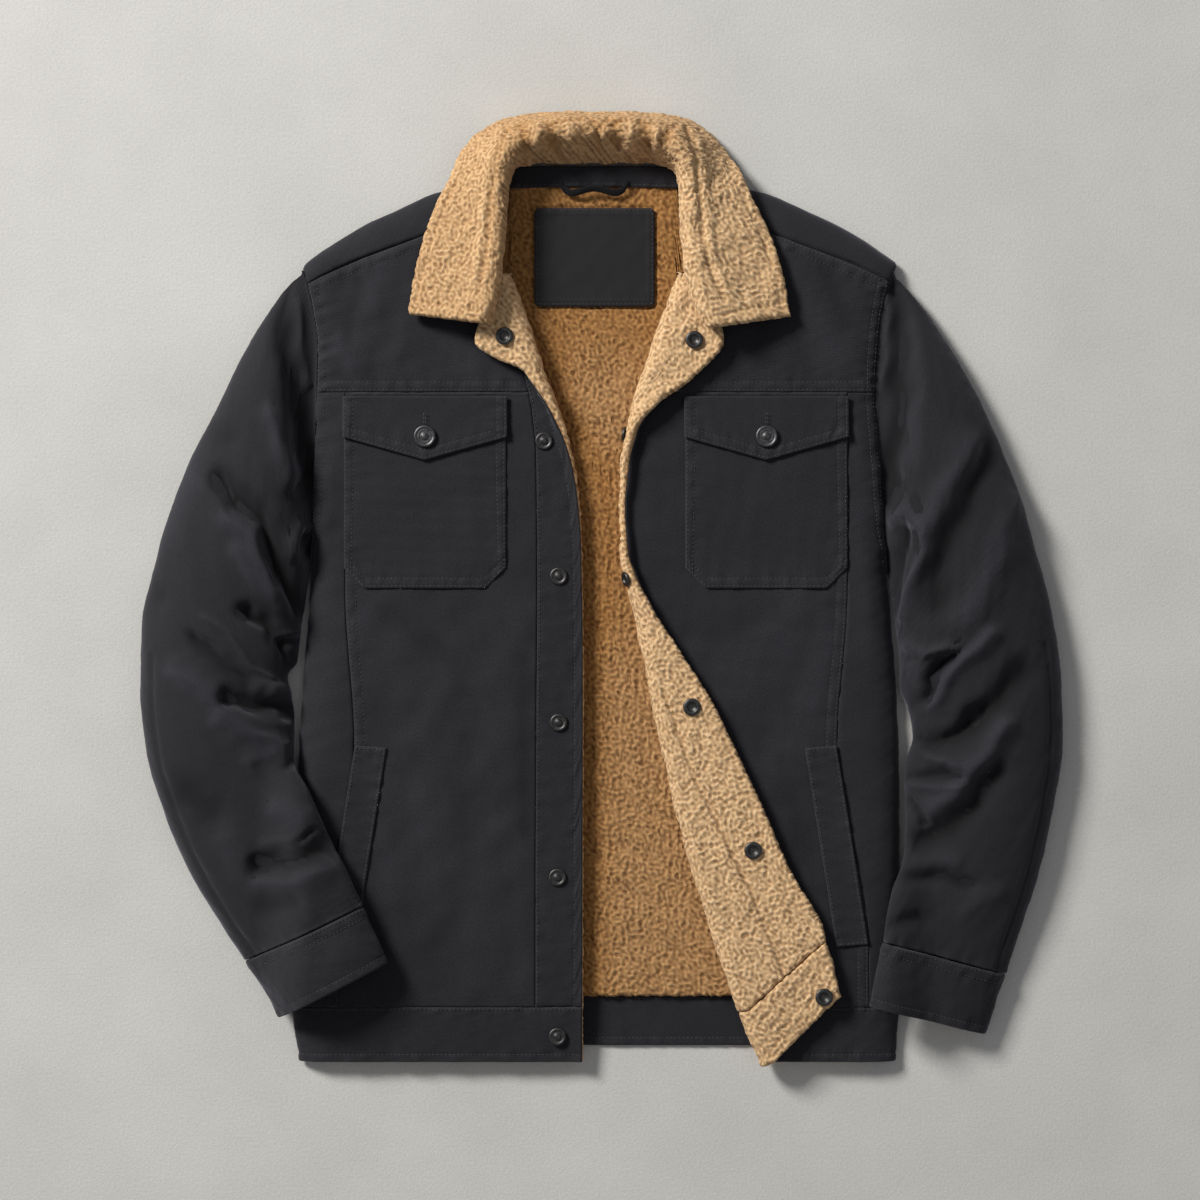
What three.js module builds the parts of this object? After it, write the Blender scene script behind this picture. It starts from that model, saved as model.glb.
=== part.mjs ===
// A hip-length jacket lined with sherpa fleece, laid open on a flat surface with its front up.
// Millimetres. X runs across the jacket, Y runs up it towards the collar, Z rises from the surface.
// Right and left are the wearer's, so the right front and the right sleeve lie at -X.
// The left front is turned back on itself along a slanting fold, which shows its lining.

import * as THREE from "three";

// Cloths and gaps
const SHELL = 1.6; // shell twill, with what is turned in behind it
const PILE = 6.5; // sherpa fleece, backing and pile
const COLLAR_PILE = 6; // the same fleece on the collar
const CUFF_PILE = 2.6; // fleece squeezed inside a cuff
const CUFF_LINING_FACE = 2.5; // from the cuff's face in to that fleece
const SEAM = 0.3; // between two pieces that are sewn together
const BAND = 3.2; // hem band, folded double
const LINING_FACE = SHELL + SEAM; // from the shell's face in to the fleece's back
const LOOSE = 0.5; // between a front's shell and its fleece, away from the rolled edge
const LINING_INSET = 28; // of the fronts' fleece in from the body's outline
const STACK = LINING_FACE + PILE; // shell and fleece together

// Heights over the surface
const BACK_LINING_LOW = SHELL + SEAM;
const BACK_LINING_TOP = BACK_LINING_LOW + PILE;
const SIDE_LOW = 3.6; // where the front's rounded side comes down to the back
const ARMHOLE_LOW = 12; // where the front ends at the armhole
const SIDE_ROUND = 26; // width of the rounded side in plan
const SIDE_SHARES = [0, 0.3, 0.6, 0.85]; // columns round that side, as shares of its angle
const SHOULDER_DROP = 0.8; // of the front's face towards the shoulder seam
const SHOULDER_SOFT = 5; // width over which it drops
const SHOULDER_LEAST = 2; // least height of the piece that rolls over the shoulder
const ARMHOLE_RUN = 60; // length over which the side comes down from the armhole

// Places along the length, Y
const YOKE_SEAM = 162;
const HEM_SEAM = -343;
const HEM_EDGE = -388.5;
const BACK_HEM_SEAM = -335;
const BACK_HEM_EDGE = -376;
const LAPEL_TOP = 258;
const NECK_SEAM = 350;
const UNDERARM = 10;
const NECK_ACROSS = 80; // half the neck, inside which the shoulder's line stays level
const NECK_MIDDLE = -5;
const NECK_HALF = 66; // from the neck's middle, inside which the back reaches up to the collar
const NECK_CORNER = 6; // over which its edge steps down to the shoulder's line
const SHOULDER_LINE = 270; // where the body's width is read for the back's top edge

// Outline of the body, seen from above
const BODY = [
  { y: 270, right: -247, left: 246 },
  { y: 240, right: -238, left: 234 },
  { y: 200, right: -232, left: 228 },
  { y: 160, right: -233, left: 226 },
  { y: 100, right: -235, left: 230 },
  { y: 20, right: -238, left: 236 },
  { y: -80, right: -245, left: 244 },
  { y: -170, right: -250, left: 247 },
  { y: -340, right: -254, left: 247 },
  { y: -390, right: -248, left: 243.5 },
];

// Height of the front's face along the middle of each half
const CROWN = [
  { y: 320, z: 17.4 },
  { y: 160, z: 18.2 },
  { y: 0, z: 19.6 },
  { y: -200, z: 19.8 },
  { y: -310, z: 18.6 },
  { y: -345, z: 17.2 },
  { y: -390, z: 13.6 },
];

// Shoulder: the fold that shows against the surface, and the seam of the front yoke below it
const SHOULDER = [
  { across: 80, fold: 335, seam: 314 },
  { across: 131, fold: 327.5, seam: 296 },
  { across: 164, fold: 313, seam: 283.5 },
  { across: 197, fold: 296.5, seam: 271 },
  { across: 226, fold: 277, seam: 258.5 },
  { across: 247, fold: 260.5, seam: 249 },
];

// Front edges. fold is the edge that shows against the back lining, turn is the angle through which
// the edge is rolled (180 is folded flat), and back is the width that lies turned back beyond the roll.
const RIGHT_EDGE = [
  { y: 258, fold: -74, turn: 180, back: 7.5 },
  { y: 242, fold: -67.5, turn: 180, back: 24 },
  { y: 226, fold: -61.7, turn: 180, back: 38 },
  { y: 204, fold: -54, turn: 180, back: 25 },
  { y: 178, fold: -46, turn: 165, back: 5.5 },
  { y: 147, fold: -34, turn: 105, back: 3 },
  { y: 123, fold: -25, turn: 48, back: 3 },
  { y: 98, fold: -19, turn: 30, back: 3 },
  { y: 70, fold: -15.5, turn: 22, back: 3 },
  { y: 40, fold: -14, turn: 14, back: 3 },
  { y: -60, fold: -13, turn: 10, back: 3 },
  { y: -389, fold: -13.5, turn: 10, back: 3 },
];
const LEFT_EDGE = [
  { y: 258, fold: 65, turn: 180, back: 20 },
  { y: 232, fold: 54.8, turn: 180, back: 48 },
  { y: 212, fold: 46.8, turn: 180, back: 41 },
  { y: 186, fold: 38, turn: 180, back: 28 },
  { y: 159, fold: 28.5, turn: 172, back: 12 },
  { y: 129, fold: 21.5, turn: 125, back: 3 },
  { y: 100, fold: 17, turn: 85, back: 3 },
  { y: 66, fold: 14.5, turn: 62, back: 3 },
  { y: 35, fold: 16, turn: 82, back: 3 },
  { y: 8, fold: 21.5, turn: 130, back: 3 },
  { y: -16, fold: 27, turn: 172, back: 6 },
  { y: -54, fold: 35, turn: 180, back: 19 },
  { y: -109, fold: 46, turn: 180, back: 39 },
  { y: -172, fold: 60, turn: 180, back: 54 },
  { y: -227, fold: 75, turn: 180, back: 64 },
  { y: -272, fold: 89, turn: 180, back: 70 },
  { y: -333, fold: 109, turn: 180, back: 83 },
  { y: -360, fold: 119.5, turn: 180, back: 83 },
  { y: -390, fold: 132, turn: 180, back: 78 },
];
const LAPEL_STRIP = 5.6; // of the left placket that lies flat beside its roll
const ROLL_LENGTH = 6.3; // of shell face in a roll, whatever its angle
const ROLL_COLUMNS = [0.25, 0.5, 0.75, 1];
const TURNED_COLUMNS = [1.33, 1.67, 2];

// Heights of the rows of points that the fronts are drawn through
const YOKE_ROWS = [290, 272, 260];
const LAPEL_ROWS = [258, 243, 232, 224, 207, 192, 177];
const RIGHT_ROWS = [145, 128, 111, 94, 70, 40, 0, -50, -100, -150, -200, -250, -300];
const LEFT_ROWS = [
  145, 129, 113, 97, 82, 66, 50, 35, 21, 8, -4, -16, -34, -54, -80, -110, -145, -185, -225, -265, -305,
];

// Seams that run down the fronts
const RIGHT_SEAMS = [
  { y: 258, placket: -91, side: -209 },
  { y: 238, placket: -83, side: -209 },
  { y: 210, placket: -73, side: -209 },
  { y: 178, placket: -63, side: -209 },
  { y: 147, placket: -56, side: -209 },
  { y: 110, placket: -52.5, side: -209 },
  { y: 0, placket: -51.5, side: -209 },
  { y: -127, placket: -52.5, side: -201.5 },
  { y: -293, placket: -53, side: -225 },
  { y: -343, placket: -53, side: -225 },
];
const LEFT_SEAMS = [
  { y: 258, side: 203 },
  { y: 0, side: 203 },
  { y: -127, side: 194.5 },
  { y: -293, side: 220.5 },
  { y: -343, side: 221 },
];
const LINING_SHORT = 1; // of the right front's fleece, short of the hem's edge
const SHOULDER_TIP = 251.4; // where the shoulder's seam meets the armhole
const SHOULDER_SHARES = [0, 0.1, 0.22, 0.36, 0.52, 0.68, 0.84, 1]; // stations along that seam
const YOKE_NECK = [
  { y: 320, right: -80, left: 70 },
  { y: 285, right: -81, left: 72 },
  { y: 268, right: -90, left: 82 },
  { y: 259, right: -92, left: 84 },
];

const FOLD_TAPER = 1.3; // how slowly a fold dies out past its ends, in its own widths

// Large soft folds of the fronts: a ridge (rise above 0) or trough from one point to another
const FRONT_FOLDS = [
  { x1: -176, y1: 262, x2: -205, y2: 190, width: 13, rise: 2.0 },
  { x1: -214, y1: 205, x2: -196, y2: 168, width: 6, rise: 1.4 },
  { x1: -120, y1: 205, x2: -95, y2: 172, width: 12, rise: 1.0 },
  { x1: -195, y1: -20, x2: -150, y2: -90, width: 20, rise: 1.4 },
  { x1: -70, y1: -25, x2: -92, y2: -150, width: 18, rise: 1.8 },
  { x1: -150, y1: -120, x2: -128, y2: -250, width: 17, rise: 1.6 },
  { x1: -84, y1: -200, x2: -100, y2: -320, width: 15, rise: 1.5 },
  { x1: -215, y1: -60, x2: -222, y2: -120, width: 12, rise: 1.0 },
  { x1: 150, y1: 275, x2: 196, y2: 190, width: 13, rise: 2.0 },
  { x1: 208, y1: 205, x2: 216, y2: 168, width: 6, rise: 1.2 },
  { x1: 110, y1: 215, x2: 80, y2: 172, width: 14, rise: 1.2 },
  { x1: 165, y1: -12, x2: 118, y2: -70, width: 20, rise: 2.0 },
  { x1: 218, y1: 60, x2: 222, y2: -60, width: 12, rise: 1.2 },
  { x1: 185, y1: -70, x2: 150, y2: -150, width: 16, rise: 1.3 },
];

// Back, flat under everything: how far its layers stay in from the body's outline
const BACK_INSET = 0.6;
const BACK_LINING_INSET = 20;
const BACK_HEM_INSET = 3;
const BACK_ROWS = [0, 0.05, 0.1, 0.2, 0.35, 0.5, 0.65, 0.8, 1]; // shares from its top edge to the hem
const BACK_COLUMNS = [0, 0.11, 0.22, 0.3296, 0.3473, 0.5, 0.6305, 0.648, 0.76, 0.88, 1]; // shares across it

// Sleeves: each section runs from the outer edge to the inner edge, and rise is its height.
const RIGHT_SLEEVE = [
  { t: 0, ox: -247.4, oy: 262.5, ix: -238.6, iy: 13, rise: 0 },
  { t: 1, ox: -262, oy: 244, ix: -241, iy: 0, rise: 30 },
  { t: 2, ox: -285, oy: 209, ix: -242.5, iy: -12, rise: 40 },
  { t: 3, ox: -310, oy: 160, ix: -245, iy: -26, rise: 44 },
  { t: 4, ox: -339, oy: 101, ix: -247, iy: -44, rise: 44 },
  { t: 5, ox: -362.5, oy: 35, ix: -249.5, iy: -60, rise: 43 },
  { t: 6, ox: -377, oy: -30, ix: -257, iy: -72, rise: 42 },
  { t: 7, ox: -378.5, oy: -80, ix: -251.5, iy: -104, rise: 42 },
  { t: 8, ox: -373.5, oy: -132, ix: -251, iy: -136, rise: 40 },
  { t: 9, ox: -356.5, oy: -190, ix: -236, iy: -168, rise: 38 },
  { t: 10, ox: -332.5, oy: -242, ix: -220, iy: -203, rise: 36 },
  { t: 11, ox: -305, oy: -286, ix: -201, iy: -242, rise: 32 },
  { t: 12, ox: -292, oy: -305, ix: -194, iy: -258, rise: 28 },
];
const LEFT_SLEEVE = [
  { t: 0, ox: 246, oy: 260.5, ix: 236.4, iy: 13, rise: 0 },
  { t: 1, ox: 265, oy: 233, ix: 239, iy: 0, rise: 30 },
  { t: 2, ox: 292.5, oy: 192, ix: 241, iy: -14, rise: 40 },
  { t: 3, ox: 317, oy: 146, ix: 243.5, iy: -32, rise: 44 },
  { t: 4, ox: 339, oy: 95, ix: 246, iy: -54, rise: 44 },
  { t: 5, ox: 357, oy: 38, ix: 247, iy: -80, rise: 43 },
  { t: 6, ox: 371, oy: -15, ix: 255, iy: -104, rise: 42 },
  { t: 7, ox: 379.5, oy: -72, ix: 257.5, iy: -122, rise: 42 },
  { t: 8, ox: 381, oy: -125, ix: 250.5, iy: -150, rise: 40 },
  { t: 9, ox: 373.5, oy: -178, ix: 251, iy: -184, rise: 38 },
  { t: 10, ox: 362, oy: -230, ix: 249, iy: -216, rise: 36 },
  { t: 11, ox: 345.5, oy: -282, ix: 237, iy: -252, rise: 32 },
  { t: 12, ox: 334, oy: -316, ix: 231, iy: -287, rise: 28 },
];
const RIGHT_CUFF = [
  { t: 0, ox: -292.4, oy: -306, ix: -193.2, iy: -258.8, rise: 29.5 },
  { t: 1, ox: -275.5, oy: -331, ix: -182, iy: -284, rise: 29 },
  { t: 2, ox: -263.5, oy: -351, ix: -172.5, iy: -304, rise: 26.5 },
];
const LEFT_CUFF = [
  { t: 0, ox: 334, oy: -317, ix: 230.2, iy: -288, rise: 29.5 },
  { t: 1, ox: 325, oy: -343, ix: 224.5, iy: -316, rise: 29 },
  { t: 2, ox: 317.5, oy: -366, ix: 219.5, iy: -339.5, rise: 26.5 },
];

const REST_HEIGHT = 24; // of a cuff that rests on the body
const REST_WIDTH = 50; // of the ramp up to it, across
const REST_OUTSIDE = 30; // of that ramp outside the body's outline
const REST_RUN = 36; // of the ramp along the sleeve
const REST_FROM = { right: -112, left: -160 }; // where each sleeve starts to ramp up
const TOP_WRAP = 32; // degrees past level that a sleeve's top comes down on each side
const SLEEVE_ROUND = [-TOP_WRAP, -8, 14, 36, 58, 80, 102, 124, 146, 168, 190, 180 + TOP_WRAP];
const WIDEST = 9; // height at which a sleeve is widest
const LEAST_RISE = 4; // of a section, for the direction of its thickness
const ARMHOLE_BLEND = 1.1; // sections over which a sleeve leaves the armhole's line
const ARMHOLE_GAP = 0.4; // from the body's outline to the sleeve's top
const ARMHOLE_ENDS = 0.015; // share of the armhole at each end that takes the wrapped columns
const UNDER_INSET = 0.055; // of the sleeve's underside in from its edges, as a share of its width
const UNDER_START = 2.6; // from the body's outline to where the underside starts
const UNDER_SHORT = 2; // of the underside, short of the top of the armhole
const UNDER_COLUMNS = [0, 0.09, 0.22, 0.42, 0.66, 0.86, 1];
const CUFF_CORNER = 0.4; // lift of a cuff's lower corners over its underside
const CUFF_LINING_FROM = 0.1; // sections at which the cuff's fleece starts and ends
const CUFF_LINING_TO = 1.94;

// Folds of the sleeves, as on the fronts
const SLEEVE_FOLDS = [
  { x1: -312, y1: 84, x2: -262, y2: 34, width: 8, rise: -6 },
  { x1: -262, y1: 34, x2: -251, y2: -16, width: 7, rise: -7 },
  { x1: -326, y1: 66, x2: -272, y2: -8, width: 13, rise: 4.5 },
  { x1: -287, y1: -20, x2: -256, y2: -42, width: 8, rise: -8 },
  { x1: -330, y1: -16, x2: -256, y2: -80, width: 9, rise: 5 },
  { x1: -356, y1: -8, x2: -300, y2: -66, width: 10, rise: -4 },
  { x1: -304, y1: -88, x2: -254, y2: -112, width: 8, rise: -8 },
  { x1: -330, y1: -104, x2: -262, y2: -134, width: 11, rise: 4 },
  { x1: -282, y1: -224, x2: -228, y2: -200, width: 9, rise: -6 },
  { x1: -300, y1: -200, x2: -240, y2: -178, width: 12, rise: 3 },
  { x1: -310, y1: 150, x2: -290, y2: 90, width: 16, rise: -3 },
  { x1: 300, y1: 104, x2: 250, y2: 56, width: 10, rise: 4.5 },
  { x1: 290, y1: 64, x2: 252, y2: 26, width: 8, rise: -6 },
  { x1: 336, y1: 56, x2: 268, y2: -50, width: 13, rise: 4.5 },
  { x1: 286, y1: -56, x2: 262, y2: -80, width: 7, rise: -8 },
  { x1: 306, y1: -48, x2: 268, y2: -98, width: 9, rise: 4 },
  { x1: 334, y1: -70, x2: 280, y2: -122, width: 11, rise: -5 },
  { x1: 340, y1: -104, x2: 268, y2: -142, width: 11, rise: 4 },
  { x1: 300, y1: -160, x2: 258, y2: -158, width: 8, rise: -6 },
  { x1: 320, y1: -186, x2: 262, y2: -196, width: 11, rise: 3 },
  { x1: 316, y1: -222, x2: 256, y2: -232, width: 10, rise: -4 },
];

// Collar: s is its seam, e its outer edge, roll is how far out from the seam it rolls over,
// and rollZ, seamZ and edgeZ are the heights of the roll's centre, the seam and the edge.
const COLLAR = [
  { t: 0, sx: -89, sy: 215, ex: -157.5, ey: 225.5, roll: 9, rollZ: 38, seamZ: 33.4, edgeZ: 31 },
  { t: 1, sx: -83.5, sy: 241, ex: -154, ey: 252, roll: 9, rollZ: 38, seamZ: 33.4, edgeZ: 29 },
  { t: 2, sx: -79, sy: 275, ex: -145, ey: 287, roll: 9, rollZ: 36, seamZ: 25, edgeZ: 28 },
  { t: 3, sx: -77, sy: 300, ex: -136, ey: 313, roll: 9, rollZ: 34, seamZ: 18, edgeZ: 27 },
  { t: 4, sx: -75.5, sy: 322, ex: -125, ey: 337, roll: 9.5, rollZ: 34, seamZ: 17, edgeZ: 21 },
  { t: 5, sx: -73, sy: 338, ex: -115, ey: 360.5, roll: 11, rollZ: 34.5, seamZ: 15, edgeZ: 13 },
  { t: 6, sx: -65, sy: 346, ex: -101.5, ey: 376.5, roll: 16, rollZ: 36, seamZ: 13, edgeZ: 7.5 },
  { t: 7, sx: -48, sy: 349.2, ex: -73.5, ey: 390.5, roll: 23, rollZ: 37.5, seamZ: 11.4, edgeZ: 5 },
  { t: 8, sx: -26, sy: 349.2, ex: -37, ey: 394.5, roll: 26, rollZ: 38, seamZ: 11.4, edgeZ: 4 },
  { t: 9, sx: -4, sy: 349.2, ex: -4, ey: 394.5, roll: 26, rollZ: 38, seamZ: 11.4, edgeZ: 4 },
  { t: 10, sx: 18, sy: 349.2, ex: 30, ey: 394.5, roll: 26, rollZ: 38, seamZ: 11.4, edgeZ: 4 },
  { t: 11, sx: 39, sy: 349.2, ex: 65, ey: 391, roll: 23, rollZ: 37.5, seamZ: 11.4, edgeZ: 5 },
  { t: 12, sx: 55, sy: 346, ex: 93.5, ey: 375.5, roll: 16, rollZ: 36, seamZ: 13, edgeZ: 7.5 },
  { t: 13, sx: 63, sy: 338, ex: 106.5, ey: 359.5, roll: 11, rollZ: 34.5, seamZ: 15, edgeZ: 13 },
  { t: 14, sx: 65, sy: 322, ex: 119, ey: 337, roll: 9.5, rollZ: 34, seamZ: 17, edgeZ: 21 },
  { t: 15, sx: 66, sy: 300, ex: 130, ey: 312, roll: 9, rollZ: 34, seamZ: 18, edgeZ: 27 },
  { t: 16, sx: 68, sy: 275, ex: 142, ey: 286, roll: 9, rollZ: 36, seamZ: 25, edgeZ: 28 },
  { t: 17, sx: 75, sy: 240, ex: 151.5, ey: 251.5, roll: 9, rollZ: 38, seamZ: 33.4, edgeZ: 29 },
  { t: 18, sx: 88.5, sy: 212.5, ex: 156.5, ey: 223.5, roll: 9, rollZ: 38, seamZ: 33.4, edgeZ: 31 },
];
const COLLAR_ROLL = 10; // radius of the fleece's face where it rolls over
const COLLAR_CLEAR = 1.02; // least distance of a section's ends from the roll's centre, in its radii
const COLLAR_STAND = [0, 0.5]; // columns up from the seam to the roll
const COLLAR_LEAF = [0.72, 0.48, 0.24, 0]; // columns from the roll down to the edge
const COLLAR_STEPS = 24; // sections along the collar
const COLLAR_ENDS = { from: 0, to: 18 };
const COLLAR_UNDER_ENDS = { from: 0.06, to: 17.94 };

// Patch pockets with pointed flaps, and slanting welt pockets below them
const POCKETS = [
  { side: "right", x1: -210, x2: -77 },
  { side: "left", x1: 70, x2: 203 },
];
const POCKET_TOP = 157.5;
const POCKET_BOTTOM = 1;
const POCKET_CORNER = 17; // cut off each lower corner
const FLAP_SIDE = 125;
const FLAP_POINT = 106;
const FLAP_LIFT = 1.4; // of the flap's free edge
const FLAP_WIDER = 1; // than its pocket, on each side and at the top
const WELTS = [
  { side: "right", x: -201, y: -128, lean: -25.5, width: 26 },
  { side: "left", x: 194, y: -128, lean: 26, width: -26 },
];
const WELT_LENGTH = 163;
const WELT_LIFT = 1.2; // of the edge that the hand goes in at
const WELT_SEAT = 0.3; // lift of the whole welt
const WELT_SKEW = 2; // of its ends

// Press studs down the front. on is the face that each is set in, and share is how far round the roll.
const SNAP_RADIUS = 7.2;
const RIGHT_SNAPS = [
  { x: -78, y: 207, on: "fleece" },
  { x: -46, y: 122, on: "shell" },
  { x: -34, y: 11, on: "shell" },
  { x: -34, y: -109, on: "shell" },
  { x: -35, y: -236, on: "shell" },
  { x: -35, y: -367, on: "shell" },
];
const LEFT_SNAPS = [
  { x: 77, y: 204, on: "fleece" },
  { y: 125, on: "roll", share: 0.66 },
  { y: 11, on: "roll", share: 0.9 },
  { x: 75, y: -96, on: "fleece" },
  { x: 125, y: -213, on: "fleece" },
  { x: 183, y: -333, on: "fleece" },
];
const ROLLED_SNAP = 0.86; // size of a socket that is sunk in the fleece of the rolled edge
const SNAP_STUD = [
  { r: 0, z: 0 }, { r: 7.2, z: 0 }, { r: 7.2, z: 1 }, { r: 6.2, z: 1.7 },
  { r: 4.6, z: 1 }, { r: 3, z: 1 }, { r: 2.4, z: 2.6 }, { r: 0, z: 2.9 },
];
const SNAP_SOCKET = [
  { r: 0, z: 0 }, { r: 7.2, z: 0 }, { r: 7.2, z: 1.3 }, { r: 6, z: 2.1 },
  { r: 4.2, z: 2.1 }, { r: 3, z: 1.1 }, { r: 0, z: 1.1 },
];

// Tack buttons on the flaps
const BUTTON_Y = 125.5;
const BUTTON_RADIUS = 9;
const BUTTON = [
  { r: 0, z: 0 }, { r: 9, z: 0 }, { r: 9, z: 1.6 }, { r: 7.8, z: 2.6 },
  { r: 6.6, z: 1.9 }, { r: 3.4, z: 1.9 }, { r: 2.4, z: 3 }, { r: 0, z: 3.2 },
];
const METAL_SEAT = 0.5; // from a cloth's highest place under a metal piece to its base
const ROLL_SEAT = 0.4; // the same on the rolled edge
const LATHE_SIDES = 12;

// Inside of the neck
const NECK_STRIP = { x1: -78, x2: 68, top: NECK_SEAM - 1.4, bottom: 330, sag: 1.5, ripple: 0.5, waves: 19 };
const LABEL = { x1: -54, x2: 45, y1: 233, y2: 314, thick: 1.4, corner: 3 };
const LOOP = { x1: -31, x2: 21, y: 334, drop: 9, thick: 2.4, half: 2, rise: 6.2, gap: 0.9 };

const mix = (a, b, t) => a + (b - a) * t;
const clamp = (t) => Math.min(1, Math.max(0, t));
const soft = (t) => clamp(t) ** 2 * (3 - 2 * clamp(t));
const radians = (degrees) => (degrees * Math.PI) / 180;
const steps = (n, from = 0, to = 1) => Array.from({ length: n + 1 }, (_, i) => mix(from, to, i / n));
const point = (x, y, z) => new THREE.Vector3(x, y, z);
const UP = point(0, 0, 1);

// A table's column as a smooth function of another column, with no overshoot between rows.
function curve(table, by, name) {
  const rows = [...table].sort((a, b) => a[by] - b[by]);
  const at = rows.map((row) => row[by]);
  const value = rows.map((row) => row[name]);
  const slope = at.slice(1).map((x, i) => (value[i + 1] - value[i]) / (x - at[i]));
  const tangent = at.map((_, i) => {
    const before = slope[Math.max(i - 1, 0)];
    const after = slope[Math.min(i, slope.length - 1)];
    return before * after <= 0 ? 0 : (2 * before * after) / (before + after);
  });
  return (x) => {
    if (x <= at[0]) return value[0];
    const last = at.length - 1;
    if (x >= at[last]) return value[last];
    const i = at.findIndex((a) => a > x) - 1;
    const gap = at[i + 1] - at[i];
    const t = (x - at[i]) / gap;
    const rise = value[i + 1] - value[i];
    return (
      value[i] +
      rise * t * t * (3 - 2 * t) +
      gap * tangent[i] * t * (1 - t) ** 2 -
      gap * tangent[i + 1] * t * t * (1 - t)
    );
  };
}

const curves = (table, by, ...names) =>
  Object.fromEntries(names.map((name) => [name, curve(table, by, name)]));

// A closed wall between two grids of points. A ring's last column joins its first.
function wall(face, back, ring = false) {
  const rows = face.length;
  const columns = face[0].length;
  const spans = ring ? columns : columns - 1;
  const at = (side, i, j) => (side * rows + i) * columns + (j % columns);
  const index = [];
  const quad = (a, b, c, d) => index.push(a, b, c, a, c, d);
  for (let j = 0; j < spans; j++) {
    for (let i = 0; i < rows - 1; i++) {
      quad(at(0, i, j), at(0, i + 1, j), at(0, i + 1, j + 1), at(0, i, j + 1));
      quad(at(1, i, j), at(1, i, j + 1), at(1, i + 1, j + 1), at(1, i + 1, j));
    }
    const end = rows - 1;
    quad(at(0, 0, j), at(0, 0, j + 1), at(1, 0, j + 1), at(1, 0, j));
    quad(at(0, end, j + 1), at(0, end, j), at(1, end, j), at(1, end, j + 1));
  }
  for (let i = 0; i < rows - 1 && !ring; i++) {
    const last = columns - 1;
    quad(at(0, i + 1, 0), at(0, i, 0), at(1, i, 0), at(1, i + 1, 0));
    quad(at(0, i, last), at(0, i + 1, last), at(1, i + 1, last), at(1, i, last));
  }
  return facingOut([...face.flat(), ...back.flat()], index);
}

// The geometry of a closed surface, turned so that its faces point out.
function facingOut(points, index) {
  const cross = new THREE.Vector3();
  let volume = 0;
  for (let k = 0; k < index.length; k += 3) {
    cross.crossVectors(points[index[k + 1]], points[index[k + 2]]);
    volume += points[index[k]].dot(cross);
  }
  const turned = volume < 0 ? [...index].reverse() : index;
  return new THREE.BufferGeometry().setFromPoints(points).setIndex(turned);
}

const grid = (rows, columns, place) => rows.map((row) => columns.map((column) => place(row, column)));

// The sum of the folds in a table at a place in plan.
function foldHeight(folds, x, y) {
  let height = 0;
  for (const { x1, y1, x2, y2, width, rise } of folds) {
    const length = Math.hypot(x2 - x1, y2 - y1);
    const s = ((x - x1) * (x2 - x1) + (y - y1) * (y2 - y1)) / length;
    const d = ((x - x1) * (y2 - y1) - (y - y1) * (x2 - x1)) / length;
    const past = Math.max(0, -s, s - length);
    height += rise * Math.exp(-((d / width) ** 2) - (past / (FOLD_TAPER * width)) ** 2);
  }
  return height;
}

// The body's outer face
const body = curves(BODY, "y", "right", "left");
const crown = curve(CROWN, "y", "z");
const shoulder = curves(SHOULDER, "across", "fold", "seam");

const sideLow = (y) => mix(SIDE_LOW, ARMHOLE_LOW, soft((y - UNDERARM) / ARMHOLE_RUN));

function crownAt(x, y) {
  const below = shoulder.seam(Math.abs(x)) - y;
  return crown(y) - SHOULDER_DROP * (1 - soft(below / SHOULDER_SOFT));
}

// How far a place lies inside the body's outline, as an angle round its rounded side (90 is past it).
function sideAngle(x, y) {
  const inside = Math.min(x - body.right(y), body.left(y) - x);
  return Math.acos(1 - clamp(inside / SIDE_ROUND));
}

function bodyTop(x, y) {
  const share = Math.sin(sideAngle(x, y));
  const top = crownAt(x, y) + foldHeight(FRONT_FOLDS, x, y);
  return mix(sideLow(y), top, share);
}

// A point on the rounded side at an angle round it, and the same point in behind the cloth.
function sidePoint(side, y, angle, depth) {
  const out = side === "left" ? 1 : -1;
  const x = body[side](y) - out * SIDE_ROUND * (1 - Math.cos(angle));
  const z = bodyTop(x, y);
  const across = Math.cos(angle) / SIDE_ROUND;
  const up = Math.sin(angle) / (crownAt(x, y) - sideLow(y));
  const long = Math.hypot(across, up);
  return point(x - (out * depth * across) / long, y, z - (depth * up) / long);
}

const onBody = (x, y, depth) => point(x, y, bodyTop(x, y) - depth);

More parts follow.
